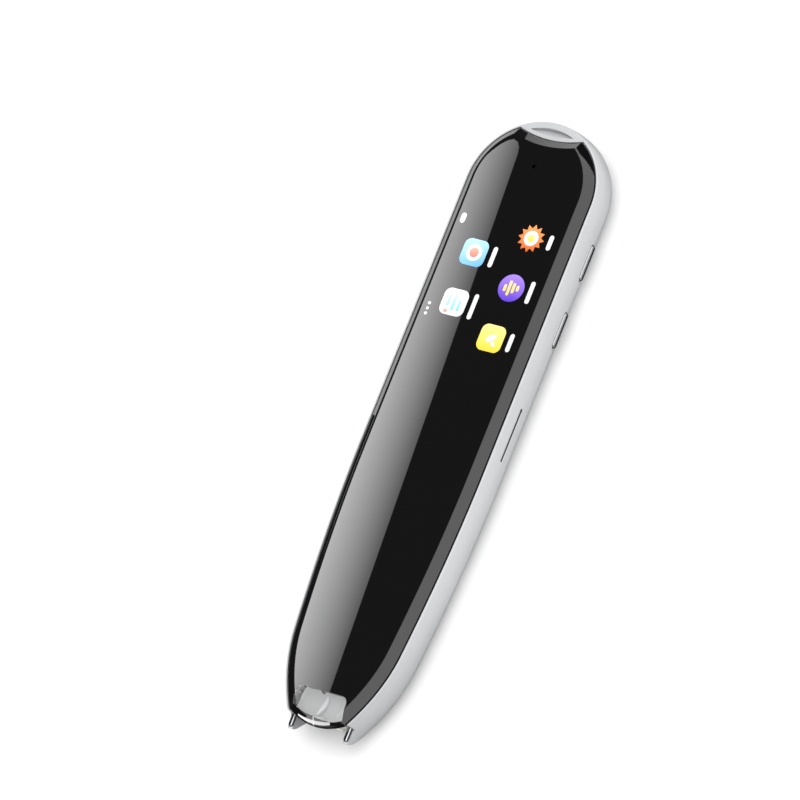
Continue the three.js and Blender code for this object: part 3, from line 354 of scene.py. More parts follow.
# %% [markdown]
# The casing is one injection moulding: a tub with a slightly bulged wall, a round rear edge and a
# thin lip round the glass. Its outline is exact, so it is lofted from level slices, and then cut as
# tool steel shapes it: hollow, glass seat, slanted skids, scooped tail, buttons, sound slot and
# port. Each opening gets a small chamfer, because a moulded edge is never knife sharp.

# %% Wall and slices of the casing


def wall_out(z, inset=0.0):
    """How far the wall stands out from the plan outline at a height."""
    if z < rear_radius:
        drop = rear_radius - z
        return bulge - rear_radius + math.sqrt(max((rear_radius - inset) ** 2 - drop**2, 0))
    rise = (z - rear_radius) / (rim_z - rear_radius)
    return bulge - inset - (bulge - lip) * rise**2


def tub(inset, top_z, steps=12):
    """Level slices of the casing, inset for the inside of the wall."""
    radius = rear_radius - inset
    heights = [rear_radius - radius * math.cos(math.pi / 2 * k / steps) for k in range(steps + 1)]
    heights += list(np.linspace(rear_radius, top_z, 8)[1:])
    return [(wall_out(z, inset), z) for z in heights]


rim_round = 0.28
outer_levels = tub(0.0, rim_z - rim_round)
rim_out = outer_levels[-1][0]
for turn in np.radians((30, 60, 90)):
    outer_levels.append((rim_out - rim_round * (1 - math.cos(turn)),
                         rim_z - rim_round + rim_round * math.sin(turn)))
casing = solid("casing_shell", [plan_ring(out, z) for out, z in outer_levels])
print("casing slices", len(outer_levels))

# %% Carving helper


def carve(piece, tools, operation="DIFFERENCE"):
    """Cuts or joins the tools, one after the other, and removes them."""
    for tool in tools:
        step = piece.modifiers.new(tool.name, "BOOLEAN")
        step.operation = operation
        step.object = tool
        step.solver = "EXACT"
        bpy.context.view_layer.update()
        shaped = bpy.data.meshes.new_from_object(
            piece.evaluated_get(bpy.context.evaluated_depsgraph_get())
        )
        piece.modifiers.clear()
        piece.data = shaped
        bpy.data.objects.remove(tool)
    return piece


print("carving ready")

# %% Inside of the casing and seat of the glass
ledge_z = rim_z - 1.1
ledge_width = 1.0
tail_roof = 3.6
far = 40.0


def circle_z(y, radius, z0, z1, steps=256):
    return solid("circle", [ring_z(arc((0, y), radius, 0, 360, steps)[:-1], z) for z in (z0, z1)])


# The space inside leaves a ledge under the tail's face, where the glass has its seat
inside_levels = tub(wall, rim_z) + [(wall_out(rim_z, wall), rim_z + overrun)]
inside = solid("hollow", [plan_ring(out, z) for out, z in inside_levels])
carve(inside, [circle_z(bite_centre, bite_radius + ledge_width, rim_z - tail_roof, rim_z + far)])
seat = solid("glass_seat", [plan_ring(0.0, z) for z in (ledge_z, rim_z + overrun)])
carve(seat, [circle_z(bite_centre, bite_radius, ledge_z - overrun, rim_z + far)])
print("inside", len(inside.data.polygons), "faces, seat", len(seat.data.polygons), "faces")

# %% Scoop of the tail
recess_edge = 0.9
recess_tail_edge = 1.15
recess_depth = 1.75

# It slopes down from the bite and ends along the tail's edge
scoop_top = rim_z + overrun
scoop_floor = rim_z - recess_depth
scoop_front = bite_centre - bite_radius + recess_edge
scoop_back = tail_tip - recess_tail_edge
scoop_side = [(scoop_front, rim_z), (scoop_back, scoop_floor), (scoop_back + overrun, scoop_floor),
              (scoop_back + overrun, scoop_top), (scoop_front, scoop_top)]
scoop = solid("scoop", [ring_x(scoop_side, x) for x in (-body_half, body_half)])
rounds = ((tail_centre, body_half - recess_tail_edge), (bite_centre, bite_radius - recess_edge))
carve(scoop, [circle_z(y, radius, scoop_floor, scoop_top) for y, radius in rounds], "INTERSECT")
print("scoop", len(scoop.data.polygons), "faces")

# %% Skids and the main cuts
skid_top = 8.1
skid_foot = 9.2
tip_radius = 0.5
tip_pull = 2.0
foot_pull = 4.4
lip_step = 2.6

# Seen from the side, this is all that stays behind the slanted, rounded end of the skids
tip = (-skid_reach + tip_radius, skid_top - tip_radius)
slant = bezier([(-skid_reach, tip[1]), (-skid_reach, tip[1] - tip_pull),
                (skid_foot - foot_pull, 0.0), (skid_foot, 0.0)], 29, True)
rear = tail_tip + far
profile = [(rear, -overrun), (rear, scoop_top), (lip_step, scoop_top), (lip_step, skid_top)]
profile += arc(tip, tip_radius, 90, 180, 8)[:-1] + [tuple(p) for p in slant]
profile.append((skid_foot, -overrun))
side_reach = body_half + bulge + overrun
skids = solid("skids", [ring_x(profile, x) for x in (-side_reach, side_reach)])
carve(casing, [skids], "INTERSECT")
carve(casing, [inside, seat, scoop])
print("casing after its main cuts", len(casing.data.polygons), "faces")

# %% Openings for the buttons, the slot and the port
button_length = 9.0
button_height = 1.7
button_z = 4.5
power_y = tail_centre - 11.7
function_y = power_y - 17.2
side_gap = 0.13
slot_y = function_y - 27.8
slot_z = rim_z - 3.65
slot_length = 13.5
slot_height = 0.72
pin_length = 1.0
pin_height = 0.99
pin_y = slot_y + (slot_length - pin_length) / 2
port_width = 8.94
port_height = 3.26
port_z = 3.4 + port_height / 2
fit_gap = 0.3
break_edge = 0.14
slot_edge = 0.05
through = 3.2


def pill(u, v, length, height, steps=16):
    """A bar with half-round ends, length along u."""
    reach = (length - height) / 2
    right = arc((u + reach, v), height / 2, -90, 90, steps)
    return right + arc((u - reach, v), height / 2, 90, 270, steps)


def opening(ring, face, u, z, length, height, edge, grow):
    """A pill through a wall, with its outer edge broken."""
    sizes = ((-through, 0.0), (-edge, 0.0), (edge, grow), (overrun, grow))
    return solid("opening", [ring(pill(u, z, length + 2 * more, height + 2 * more, 20), face + off)
                             for off, more in sizes])


key_size = (button_length + 2 * side_gap, button_height + 2 * side_gap, break_edge)
side_cuts = ((power_y, button_z, *key_size), (function_y, button_z, *key_size),
             (slot_y, slot_z, slot_length, slot_height, slot_edge),
             (pin_y, slot_z, pin_length, pin_height, slot_edge))
for y, z, length, height, edge in side_cuts:
    side_face = body_half + wall_out(z)
    carve(casing, [opening(ring_x, side_face, y, z, length, height, edge, 2 * edge)])
port = opening(ring_y, tail_tip + wall_out(port_z), 0, port_z, port_width + fit_gap,
               port_height + fit_gap, break_edge, break_edge)
carve(casing, [port])
print("casing with its openings", len(casing.data.polygons), "faces")

# %% Runner channels
runner_x = skid_half_span + wall_out(skid_top) - wall / 2
runner_width = 1.1
channel_gap = 0.2
channel_top = 9.2
hood_rear = 16.4


def box_rings(low, high):
    """The two rings of a block."""
    corners = [(low[0], low[1]), (high[0], low[1]), (high[0], high[1]), (low[0], high[1])]
    return [ring_z(corners, low[2]), ring_z(corners, high[2])]


def channel(side):
    """The trough of one runner."""
    half = runner_width / 2 + channel_gap
    low = (side * runner_x - half, -skid_reach - overrun, skid_top)
    high = (side * runner_x + half, hood_rear + fit_gap, channel_top)
    return solid("channel", box_rings(low, high))


carve(casing, [channel(1), channel(-1)])
print("casing with its channels", len(casing.data.polygons), "faces")

# %% The casing is fitted


def fit(piece, material, body="casing", replaces=(), sharp=32):
    """Shades a piece, gives it its finish, and lets it ride on its body."""
    piece.data.shade_smooth()
    piece.data.set_sharp_from_angle(angle=math.radians(sharp))
    piece.data.materials.clear()
    piece.data.materials.append(material)
    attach(piece, body)
    if replaces:
        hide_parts(*replaces)
    print("piece", piece.name, "faces", len(piece.data.polygons))
    return piece


fit(casing, white_abs, replaces=["rear_housing"])

# %% [markdown]
# The cover glass. Its outline is the plan outline pulled in by the gap, ended by a shallow arc at
# the nose and bitten by a hollow arc at the tail. The sides and the bite are ground to a flat
# bevel whose top edge is softened, and the nose is ground round, which is what bends reflections
# there into a crescent. So each level has three insets: for the sides, the nose and the bite.

# %% Levels of the cover glass
edge_gap = 0.35
bevel_width = 2.02
nose_bevel = 1.7
bite_bevel = 2.15
glass_bottom = rim_z - 1.0
glass_top = thickness - 0.03
bevel_foot = rim_z + 0.15
top_round = 0.3
bite_foot = bevel_foot + (glass_top - top_round - bevel_foot) / 8
glass_drop = glass_top - bevel_foot
bite_drop = glass_top - bite_foot
cover_under = thickness - 1.1
glued_rim = 2.35 + glass_gap
edge_radius = 1.0
nose_turn = math.radians(11)


def flat_bevel(width, drop, z):
    """Inset of a flat bevel at a height, with its top edge rounded."""
    slope = math.atan2(drop, width)
    below = glass_top - z
    if below > edge_radius * (1 - math.cos(slope)):
        return edge_gap + width * max(1 - below / drop, 0.0)
    turn = math.acos(1 - below / edge_radius)
    return edge_gap + width + edge_radius * (math.tan(slope / 2) - math.sin(turn))


grind_radius = math.hypot(nose_bevel, glass_drop) / (2 * math.sin(nose_turn))
grind_last = math.atan2(glass_drop, nose_bevel) + nose_turn


def round_bevel(z):
    """Inset of the nose, ground to an arc that turns by nose_turn on each side of its chord."""
    across = grind_radius * math.cos(grind_last) + (z - bevel_foot)
    return edge_gap + grind_radius * math.sin(grind_last) - math.sqrt(grind_radius**2 - across**2)


heights = list(np.linspace(bevel_foot, glass_top - top_round, 9))
heights += [glass_top - below for below in (0.25, 0.2, 0.15, 0.11, 0.075, 0.045, 0.02, 0.005, 0.0)]
glass_levels = [(edge_gap,) * 3 + (z,) for z in (glass_bottom, rim_z - 0.05)]
glass_levels += [(flat_bevel(bevel_width, glass_drop, z), round_bevel(z),
                  flat_bevel(bite_bevel, bite_drop, z), z) for z in heights]
glass_levels.append(tuple(inset + 0.1 for inset in glass_levels[-1][:3]) + (glass_top,))
print("glass levels", len(glass_levels))

# %% Outline of the cover glass at one level
first_side = int(np.argmax(outline[:, 1] >= nose_rise))
lead = outline[first_side] - tangents[first_side] * nose_rise
side_points = np.vstack([lead, outline[first_side:]])
side_outward = np.vstack([outward[first_side], outward[first_side:]])


def crossing(points, centre_y, radius, order):
    """Where a chain of points meets a circle on the middle line, as an index with its fraction."""
    off = np.hypot(points[:, 0], points[:, 1] - centre_y) - radius
    for i in order:
        if off[i] * off[i + 1] <= 0:
            return i + off[i] / (off[i] - off[i + 1])
    return 0.0


def glass_ring(side, nose, bite, z):
    """The outline of the glass at a height, with its inset at the sides, the nose and the bite."""
    points = side_points - side_outward * side
    count = len(points)
    r, q = nose_radius - nose, bite_radius + bite
    start = crossing(points, nose_radius, r, range(0, count // 3))
    end = crossing(points, bite_centre, q, range(count - 2, count // 2, -1))
    steps = np.linspace(start, end, 130)
    xs, ys = (np.interp(steps, np.arange(count), points[:, k]) for k in (0, 1))
    nose_turns = math.atan2(xs[0], nose_radius - ys[0]) * np.linspace(0, 1, 20, endpoint=False)
    bite_turns = math.atan2(xs[-1], bite_centre - ys[-1]) * np.linspace(1, 0, 25)[1:]
    right = np.vstack([
        np.column_stack([r * np.sin(nose_turns), nose_radius - r * np.cos(nose_turns)]),
        np.column_stack([xs, ys]),
        np.column_stack([q * np.sin(bite_turns), bite_centre - q * np.cos(bite_turns)]),
    ])
    return ring_z(np.vstack([right, right[-2:0:-1] * (-1, 1)]), z)


glass = solid("cover_glass", [glass_ring(*level) for level in glass_levels])
carve(glass, [solid("pocket", [glass_ring(glued_rim, glued_rim, glued_rim, z)
                               for z in (glass_bottom - overrun, cover_under)])])
print("glass rings of", len(glass_ring(*glass_levels[0])), "points")

# %% [markdown]
# The glass has two openings in its black print: a small round one over the microphone, and at the
# nose a clear window over the reading line, with a pane flush in it. The pane is the glass body
# itself, cut by the window's outline, so it follows the ground edge as well.

# %% Window, pane and microphone hole
window_half = 7.0
window_rear = 8.4
window_corner = 1.7
window_front = 2.1
notch_half = 0.36
notch_depth = 0.55
pane_under = 12.7
pane_gap = 0.01
mic_y = tail_centre + 5.5
mic_radius = 0.5


def window_outline(grow=0.0):
    """The clear zone: front edge along the ground nose, straight sides, round rear corners."""
    radius = nose_radius - window_front + grow
    half = window_half + grow
    rear = window_rear + grow
    turn = math.degrees(math.asin(half / radius))
    left_front = arc((0, nose_radius), radius, -90 - turn, -90, 14)
    bend = [(0.12, 1.95 - grow), (2.6, 1.65 - grow), (5.0, 1.55 - grow), (half, 3.0)]
    right_front = [tuple(p) for p in bezier(bend, 15, True)]
    right = arc((half - window_corner, rear - window_corner), window_corner, 0, 90, 8)
    left = arc((-half + window_corner, rear - window_corner), window_corner, 90, 180, 8)
    notch = [(notch_half, rear), (0.0, rear - notch_depth), (-notch_half, rear)]
    return left_front + right_front + right + notch + left


def window_block(name, grow, low):
    return solid(name, [ring_z(window_outline(grow), z) for z in (low, glass_top + overrun)])


pane = new_object("sight_pane", glass.data.copy())
carve(pane, [window_block("pane_form", -pane_gap, pane_under)], "INTERSECT")
mic_circle = arc((0, mic_y), mic_radius, 0, 360, 32)[:-1]
mic_cutter = solid("mic", [ring_z(mic_circle, z)
                           for z in (cover_under - overrun, thickness + overrun)])
carve(glass, [window_block("window", 0.0, glass_bottom - overrun), mic_cutter])
fit(glass, black_glass, replaces=["front_glass"], sharp=14)

# %% [markdown]
# The pane is clear acrylic, and below it lies the light guide: a milky block with a fin that rises
# to the nose, white on its side, which shows the user where the reading line is. Clear plastic
# needs only its IOR of 1.49 and full transmission. The milky one has a soft sheen. The guide, its
# fin and the line over the nose get a painted glow, which lifts them evenly, so they hardly take a
# shadow.

# %% Materials: clear acrylic and milky light guide
clear_pane = surface("clear_polished_acrylic", "#F8FAFA", "#FFFFFF", 5.0, (0.01, 0.03), 5.0, 0,
                     IOR=1.49, Transmission_Weight=1.0)
# Painted glow: both finishes shine a little by themselves, to lift the guide, the fin and the line
# evenly.
light_guide_painted_glow, ridge_painted_glow = (
    surface(name, dark, light, 2.5, (0.28, 0.32), 0.8, 0.003, IOR=1.49,
            Emission_Color=white_light, Emission_Strength=strength)
    for name, dark, light, strength in (
        ("milky_moulded_light_guide", "#8C8D8E", "#949596", 0.27),
        ("white_sight_line_inlay_painted_glow", "#A9AAAB", "#B1B2B3", 0.36)))
fit(pane, clear_pane, sharp=14)

# %% Light guide and its fin
guide_half = 6.9
guide_rear = 9.1
guide_corner = 1.5
guide_base = 9.2
guide_top = 9.8
mark_half = 0.12
fin_left = -0.12
fin = [(2.9, 0.45, 11.75), (3.6, 0.62, 11.5), (4.6, 0.92, 11.1), (5.8, 1.1, 10.7),
       (6.8, 0.9, 10.35), (7.6, 0.5, 10.08), (8.1, 0.1, 9.9)]


def fin_section(y, width, low, top):
    """A ring of the fin: upright sides under a softened crest, with the left side straight."""
    right, soft = fin_left + width, 0.1 * width
    return [(fin_left, y, low), (right, y, low), (right, y, top - soft), (right - soft, y, top),
            (fin_left + soft, y, top), (fin_left, y, top - soft)]


def mark_section(z):
    """A ring of the thin light line that carries on over the ground nose."""
    front, back = round_bevel(z) - 0.02, round_bevel(z) + 0.1
    return [(-mark_half, front, z), (mark_half, front, z), (mark_half, back, z - 0.02),
            (-mark_half, back, z - 0.02)]


guide_edge = [(0.0, 1.6), (guide_half, 1.9)]
guide_edge += arc((guide_half - guide_corner, guide_rear - guide_corner), guide_corner, 0, 90, 8)
guide_edge += [(-x, y) for x, y in guide_edge[:0:-1]]
guide_block = [ring_z(guide_edge, z) for z in (guide_base, guide_top)]
fin_body = [fin_section(y, width, guide_top - 0.2, crest - 0.1) for y, width, crest in fin]
fin_inlay = [fin_section(y, width + 0.02, crest - 0.3, crest) for y, width, crest in fin]
mark = [mark_section(z) for z in np.linspace(bevel_foot + 0.05, glass_top - 0.01, 12)]
fit(solid("sight_fin", fin_body), light_guide_painted_glow)
fit(solid("sight_inlay", fin_inlay), ridge_painted_glow)
fit(solid("sight_guide", guide_block), light_guide_painted_glow, replaces=["sight_insert"])
fit(solid("sight_mark", mark), light_guide_painted_glow)

# %% [markdown]
# Metals. The side buttons are bead-blasted, grey anodised aluminium: the blasting leaves a fine
# even grain that spreads highlights. The runners on the skids are drawn and polished steel rod,
# which mirrors the studio in long stripes. Metals keep the default IOR. The real grain is 0.1 mm
# and would not show, so it is drawn at 0.25 mm.

# %% Materials: anodised aluminium and polished steel
button_aluminium = surface("beadblasted_anodised_aluminium", "#929395", "#9E9FA1", 0.25,
                           (0.22, 0.32), 0.25, 0.005, Metallic=1.0)
runner_steel = surface("polished_drawn_steel", "#A0A1A3", "#AEAFB1", 1.2, (0.055, 0.085), 1.2,
                       0.0005, Metallic=1.0)
print("metals ready")

# %% Buttons
pill_root = 1.4
pill_proud = 0.33
pill_round = 0.6


def button(name, y, body, node):
    """A pill that fills its opening, with a rounded crown, on its own moving body."""
    face = body_half + wall_out(button_z)
    profile = [(face - pill_root, 0.0), (face + pill_proud - pill_round, 0.0)]
    for turn in np.radians((22.5, 45, 67.5, 90)):
        profile.append((face + pill_proud - pill_round * (1 - math.sin(turn)),
                        pill_round * (1 - math.cos(turn))))
    rings = [ring_x(pill(y, button_z, button_length - 2 * cut, button_height - 2 * cut, 20), x)
             for x, cut in profile]
    return fit(solid(name, rings), button_aluminium, body, [node])


button("power_pill", power_y, "power_key", "power_button")
button("function_pill", function_y, "function_key", "function_button")

# %% [markdown]
# Black parts at the openings are matt polycarbonate, moulded against a spark-eroded tool: a dull
# surface with a fine grain of about 0.4 mm, and an IOR of 1.58. The runners lie in beds of it, the
# reading hood is a tunnel of it, and a thin baffle of it keeps stray light out of the window's far
# side. Behind the sound slot is a mesh whose threads are far too fine to see, so a plain plug of
# the same black closes the slot.

# %% Runners in their beds
black_plastic = surface("matt_moulded_black_polycarbonate", "#141415", "#1E1E20", 0.4,
                        (0.45, 0.6), 0.4, 0.01, IOR=1.58)
runner_half = 0.42
runner_crown = 0.26
runner_top = 8.7
runner_base = 8.3
runner_front = -skid_reach + 0.3
runner_rear = hood_rear - 1.0
bed_half = 0.68
bed_levels = ((8.12, 0.0), (8.32, 0.0), (8.38, -0.12))
rod_sections = ((runner_front, 0.55), (runner_front + 0.12, 0.85), (runner_front + 0.3, 1.0),
                (runner_rear - 0.4, 1.0))


def bar(x, y, length, width):
    """A bar with half-round ends, seen from above, with its length along Y."""
    return [(b, a) for a, b in pill(y, x, length, width, 6)][::-1]


def runner(side):
    """A low-crowned rod, narrower at its tip, in a bed with a softened edge."""
    name = "right" if side > 0 else "left"
    x = side * runner_x
    middle, length = (runner_front + runner_rear) / 2, runner_rear - runner_front
    bed = [ring_z(bar(x, middle, length + grow, 2 * bed_half + grow), z) for z, grow in bed_levels]
    fit(solid("runner_bed_" + name, bed), black_plastic)
    rings = []
    for y, share in rod_sections:
        half, low = runner_half * share, runner_top - runner_crown
        crown = [(x + half * u, low + runner_crown * share * v)
                 for u, v in arc((0, 0), 1, 0, 180, 24)]
        rings.append(ring_y([(crown[-1][0], runner_base), (crown[0][0], runner_base)] + crown, y))
    return fit(solid("runner_" + name, rings), runner_steel, sharp=50)


runner(1)
runner(-1)

# %% Light baffle beside the window
baffle_outer, baffle_inner = (
    [(-window_half + gap, 3.4)] + arc((window_corner - window_half, window_rear - window_corner),
                                      window_corner - gap, 180, 140, 6)
    for gap in (0.01, 0.13))
baffle_plan = baffle_outer + baffle_inner[::-1]
fit(solid("window_baffle", [ring_z(baffle_plan, z) for z in (guide_top + 0.1, pane_under - 0.03)]),
    black_plastic)

# %% [markdown]
# The scan trigger is a lever between the skids, which the paper pushes in. Parts that slide are
# often natural acetal, a dense, slightly warm white plastic with a waxy sheen and an IOR of 1.48.
# Its solid has the right shape, so the piece is a copy of it with this finish.

# %% Scan trigger
acetal = surface("natural_white_acetal", "#CFCFCB", "#D6D6D2", 6.0, (0.36, 0.44), 0.6, 0.003,
                 IOR=1.48)
trigger = new_object("trigger_slide", frame["nodes"]["scan_trigger"].data.copy())
fit(trigger, acetal, "trigger", ["scan_trigger"])

# %% Reading hood and the plug of the sound slot
relief_top = 9.6
reliefs = ((runner_x - 0.8, -skid_reach, 8.0, runner_x + 0.8, hood_rear), (4.9, 0.0, 7.6, 9.0, 5.2))
hood = new_object("reading_hood", frame["nodes"]["scan_hood"].data.copy())
for side in (1, -1):
    for x0, y0, z0, x1, y1 in reliefs:
        left, right = sorted((side * x0, side * x1))
        carve(hood, [solid("relief", box_rings((left, y0, z0), (right, y1, relief_top)))])
fit(hood, black_plastic, replaces=["scan_hood"])

plug_gap = 0.03
plug_depth = 1.1
plug_face = body_half + wall_out(slot_z) - 0.06
plug, pin = (
    solid(name, [ring_x(pill(y, slot_z, length - plug_gap, height - plug_gap), x)
                 for x in (plug_face - plug_depth, plug_face)])
    for name, y, length, height in (("sound_slot_mesh", slot_y, slot_length, slot_height),
                                    ("pin", pin_y, pin_length, pin_height)))
fit(carve(plug, [pin], "UNION"), black_plastic)

# %% [markdown]
# The display. A lit liquid crystal panel behind black glass shows only its bright pixels, so the
# dark parts are the glass itself, and each lit shape is a very thin plate flush with it. The
# shapes are plain signs in fresh colours: a ring, a sun, bars, a leaf and waves, with blank bars
# where a device would have words. They glow a little, and the glass's gloss lies over them.

# %% Lit pixels
pixel_glow = 0.08
pixel_cloud = 0.24


def lit_pixels(name, first, second):
    """Pixels that shade from one colour to the other across a sign, under glossy glass."""
    material, tree, shader = new_material(name, IOR=1.51, Roughness=0.03,
                                          Emission_Strength=pixel_glow)
    where = add(tree, "TexCoord").outputs["Generated"]
    along = add(tree, "SeparateXYZ", {"Vector": where}).outputs["Y"]
    cloud = add(tree, "TexNoise", {"Vector": where, "Scale": 2.0}).outputs[0]
    mix = add(tree, "Math", {0: cloud, 1: pixel_cloud, 2: along}, operation="MULTIPLY_ADD")
    shift = add(tree, "Math", {0: mix.outputs[0], 1: pixel_cloud / 2}, operation="SUBTRACT")
    colour = add(tree, "Mix", {"Factor": shift.outputs[0], "A": linear(first),
                               "B": linear(second)}, data_type="RGBA").outputs["Result"]
    tree.links.new(colour, shader.inputs["Base Color"])
    tree.links.new(colour, shader.inputs["Emission Color"])
    return material


pixels = {
    name: lit_pixels("lit_" + name + "_pixels", first, second)
    for name, first, second in (
        ("white", "#D4D6D8", "#E2E3E4"), ("blue", "#5AA7DE", "#A7D6EE"),
        ("coral", "#E0604F", "#F2A08A"), ("orange", "#D9652F", "#F0A364"),
        ("violet", "#5B3FC4", "#A583E6"), ("yellow", "#EBCB3F", "#F6E58E"),
        ("cyan", "#57C4D6", "#B5E8EC"))}
print("pixel colours", *pixels)

# %% Plates and shapes of the signs
pixel_rise = 0.006


def plates(name, outlines, level, material):
    """Thin plates with the given outlines, as one piece, one pixel level above the glass."""
    top = glass_top + pixel_rise * level
    parts = [solid(name, [ring_z(o, z) for z in (glass_top - 0.02, top)]) for o in outlines]
    form = bmesh.new()
    for part in parts:
        form.from_mesh(part.data)
    for part in parts[1:]:
        bpy.data.objects.remove(part)
    form.to_mesh(parts[0].data)
    form.free()
    parts[0].name = name
    return fit(parts[0], material)


def disc(x, y, radius, steps=40):
    return arc((x, y), radius, 0, 360, steps)[:-1]


def petal(x, y, length, turn):
    """A pointed leaf."""
    half = arc((0, -length * 0.42), length * 0.66, 40.6, 139.4, 14)
    leaf = half + [(-u, -v) for u, v in half[1:-1]]
    c, s = math.cos(math.radians(turn)), math.sin(math.radians(turn))
    return [(x + c * u - s * v, y + s * u + c * v) for u, v in leaf]


print("one pixel level is", round(pixel_rise * 1000), "micrometres")

# %% Signs on the display
left_x = -6.4
right_x = 6.6
tile = 6.6
tile_corner = 1.7
left_1, left_2 = 118.1, 105.4
right_1, right_2, right_3 = 124.7, 112.0, 99.2
caption_gap = 5.2


def square(x, y):
    """A tile with round corners."""
    reach = tile / 2 - tile_corner
    corners = [(reach, -reach, -90), (reach, reach, 0), (-reach, reach, 90), (-reach, -reach, 180)]
    return [p for a, b, turn in corners
            for p in arc((x + a, y + b), tile_corner, turn, turn + 90, 8)]


def sun_rays(x, y, inner, outer, count):
    """A star with a number of points."""
    turns = [math.pi * k / count for k in range(count * 2)]
    return [(x + r * math.cos(a), y + r * math.sin(a))
            for r, a in zip((outer, inner) * count, turns)]


captions = ((left_x, left_1, 5.2), (left_x, left_2, 6.4), (right_x, right_1, 3.8),
            (right_x, right_2, 5.6), (right_x, right_3, 4.6))
signs = (
    ("sign_ring_tile", 1, "blue", [square(left_x, left_1)]),
    ("sign_ring_band", 2, "white", [disc(left_x, left_1, 2.1)]),
    ("sign_ring_eye", 3, "coral", [disc(left_x, left_1, 1.2)]),
    ("sign_page_tile", 1, "white", [square(left_x, left_2)]),
    ("sign_page_waves", 2, "cyan", [
        bar(left_x + dx, left_2 + dy, length, 0.75)
        for dx, dy, length in ((-1.5, 0.4, 3.2), (0.0, 0.0, 4.2), (1.5, -0.6, 2.8))]),
    ("sign_page_spot", 2, "coral", [disc(left_x - 1.5, left_2 - 2.4, 0.5)]),
    ("sign_sun_rays", 1, "orange", [sun_rays(right_x, right_1, 2.5, 3.5, 12)]),
    ("sign_sun_disc", 2, "white", [disc(right_x, right_1, 1.9)]),
    ("sign_sun_core", 3, "yellow", [disc(right_x, right_1, 0.9)]),
    ("sign_level_disc", 1, "violet", [disc(right_x, right_2, 3.4)]),
    ("sign_level_bars", 2, "yellow", [
        bar(right_x + dx, right_2 + 0.15 * dx, length, 0.72)
        for dx, length in ((-1.65, 1.8), (-0.55, 3.8), (0.55, 2.6), (1.65, 1.5))]),
    ("sign_leaf_tile", 1, "yellow", [square(right_x, right_3)]),
    ("sign_leaf_blade", 2, "white", [petal(right_x, right_3, 3.2, 35),
                                     petal(right_x + 0.9, right_3 - 1.2, 1.9, -50)]),
    ("caption_bars", 1, "white", [bar(x + caption_gap, y, length, 1.15)
                                  for x, y, length in captions]),
    ("status_marks", 1, "white", [bar(-12.7, 125.6, 2.6, 1.3)]
     + [disc(-12.6, 101.2 + 1.3 * k, 0.38) for k in range(3)]),
)
for name, level, colour, outlines in signs:
    plates(name, outlines, level, pixels[colour])

# %% [markdown]
# The inner parts that can be seen through openings, and those that can't, keep their solids from
# the CAD model, and each gets the finish of the real material: a green board with copper tracks
# under a glossy solder mask, stamped shields with a soft tinned sheen, a dark display cell that
# mirrors a little, silvery battery foil, amber flat cable, dull silicone gaskets, white lamp
# packages, and lens glass with a bluish coat.

# %% Finishes of the inner parts
track_pitch = 1.6
track_share = 0.12
inner_relief = 0.005

# A green board: copper tracks under the mask, as the borders of square cells
solder_mask, board_tree, board_shader = new_material("green_solder_mask_board", IOR=1.55,
                                                     Roughness=0.35)
board_place = add(board_tree, "TexCoord").outputs["Object"]
cells = add(board_tree, "TexVoronoi", {"Vector": board_place, "Scale": 1 / (track_pitch * MM)},
            distance="CHEBYCHEV", feature="DISTANCE_TO_EDGE")
track = add(board_tree, "Math", {0: cells.outputs["Distance"], 1: track_share},
            operation="LESS_THAN")
board_colour = add(board_tree, "Mix", {"Factor": track.outputs[0], "A": linear("#0E4A2A"),
                                       "B": linear("#2C7A48")}, data_type="RGBA")
board_tree.links.new(board_colour.outputs["Result"], board_shader.inputs["Base Color"])


def inner(name, dark, light, rough, grain_mm, **sockets):
    """The finish of an inner part, whose gloss varies by 15 per cent with its grain."""
    return surface(name, dark, light, grain_mm, (rough * 0.85, rough * 1.15), grain_mm,
                   inner_relief, **sockets)


finishes = {
    "white_shell": white_abs,
    "cover_glass": black_glass,
    "black_plastic": black_plastic,
    "clear_plastic": light_guide_painted_glow,
    "button_metal": button_aluminium,
    "steel": inner("tinned_stamped_steel", "#A9ABAD", "#C3C5C7", 0.25, 0.6, Metallic=1.0),
    "display_cell": inner("polarised_display_cell", "#08090B", "#101216", 0.12, 3.0, IOR=1.52),
    "circuit_board": solder_mask,
    "battery_foil": inner("laminated_battery_foil", "#8F9297", "#B4B7BB", 0.3, 4.0, IOR=1.5),
    "flat_cable": inner("amber_polyimide_cable", "#9A5B1C", "#B97A2E", 0.3, 1.0, IOR=1.7),
    "soft_rubber": inner("soft_black_silicone", "#1B1B1D", "#262629", 0.7, 0.5, IOR=1.41),
    "lamp_white": inner("white_lamp_package", "#F1F1EC", "#FFFFFA", 0.4, 0.5, IOR=1.5),
    "lens_glass": inner("coated_lens_glass", "#0B1020", "#1A2540", 0.03, 1.0, IOR=1.6),
}
for part in frame["record"]["subparts"]:
    node = frame["nodes"].get(part["node"])
    if node is not None:
        node.data.materials.clear()
        node.data.materials.append(finishes[part["material_slot"]])

# %% [markdown]
# The stage is a plain white floor under a white sky, with a large soft key lamp overhead, a little
# to the right, so the shadow stays short and the wall grows darker towards the floor. A weak fill
# lamp from the right lifts the darkest line, where the pen meets the floor. Gloss is lit apart
# from that, as in a studio: mirrors see a dark tent, and light cards hang in it where a reflection
# is wanted. Glossy rays alone see these, so they don't change the soft light or show in any view.

# %% Floor, sky and lamps
floor_half = 6.0
floor_z = -0.00002
sky_strength = 1.0
lamp_spread = math.radians(50)
floor_paint = surface("matt_white_paper", "#EAEAEA", "#ECECEC", 30.0, (0.88, 0.92), 30.0, 0)
world = bpy.data.worlds.new("white_sky")
world.use_nodes = True
world.node_tree.nodes.clear()
sky = add(world.node_tree, "Background", {"Color": white_light, "Strength": sky_strength})
add(world.node_tree, "OutputWorld", {"Surface": sky.outputs[0]})
bpy.context.scene.world = world


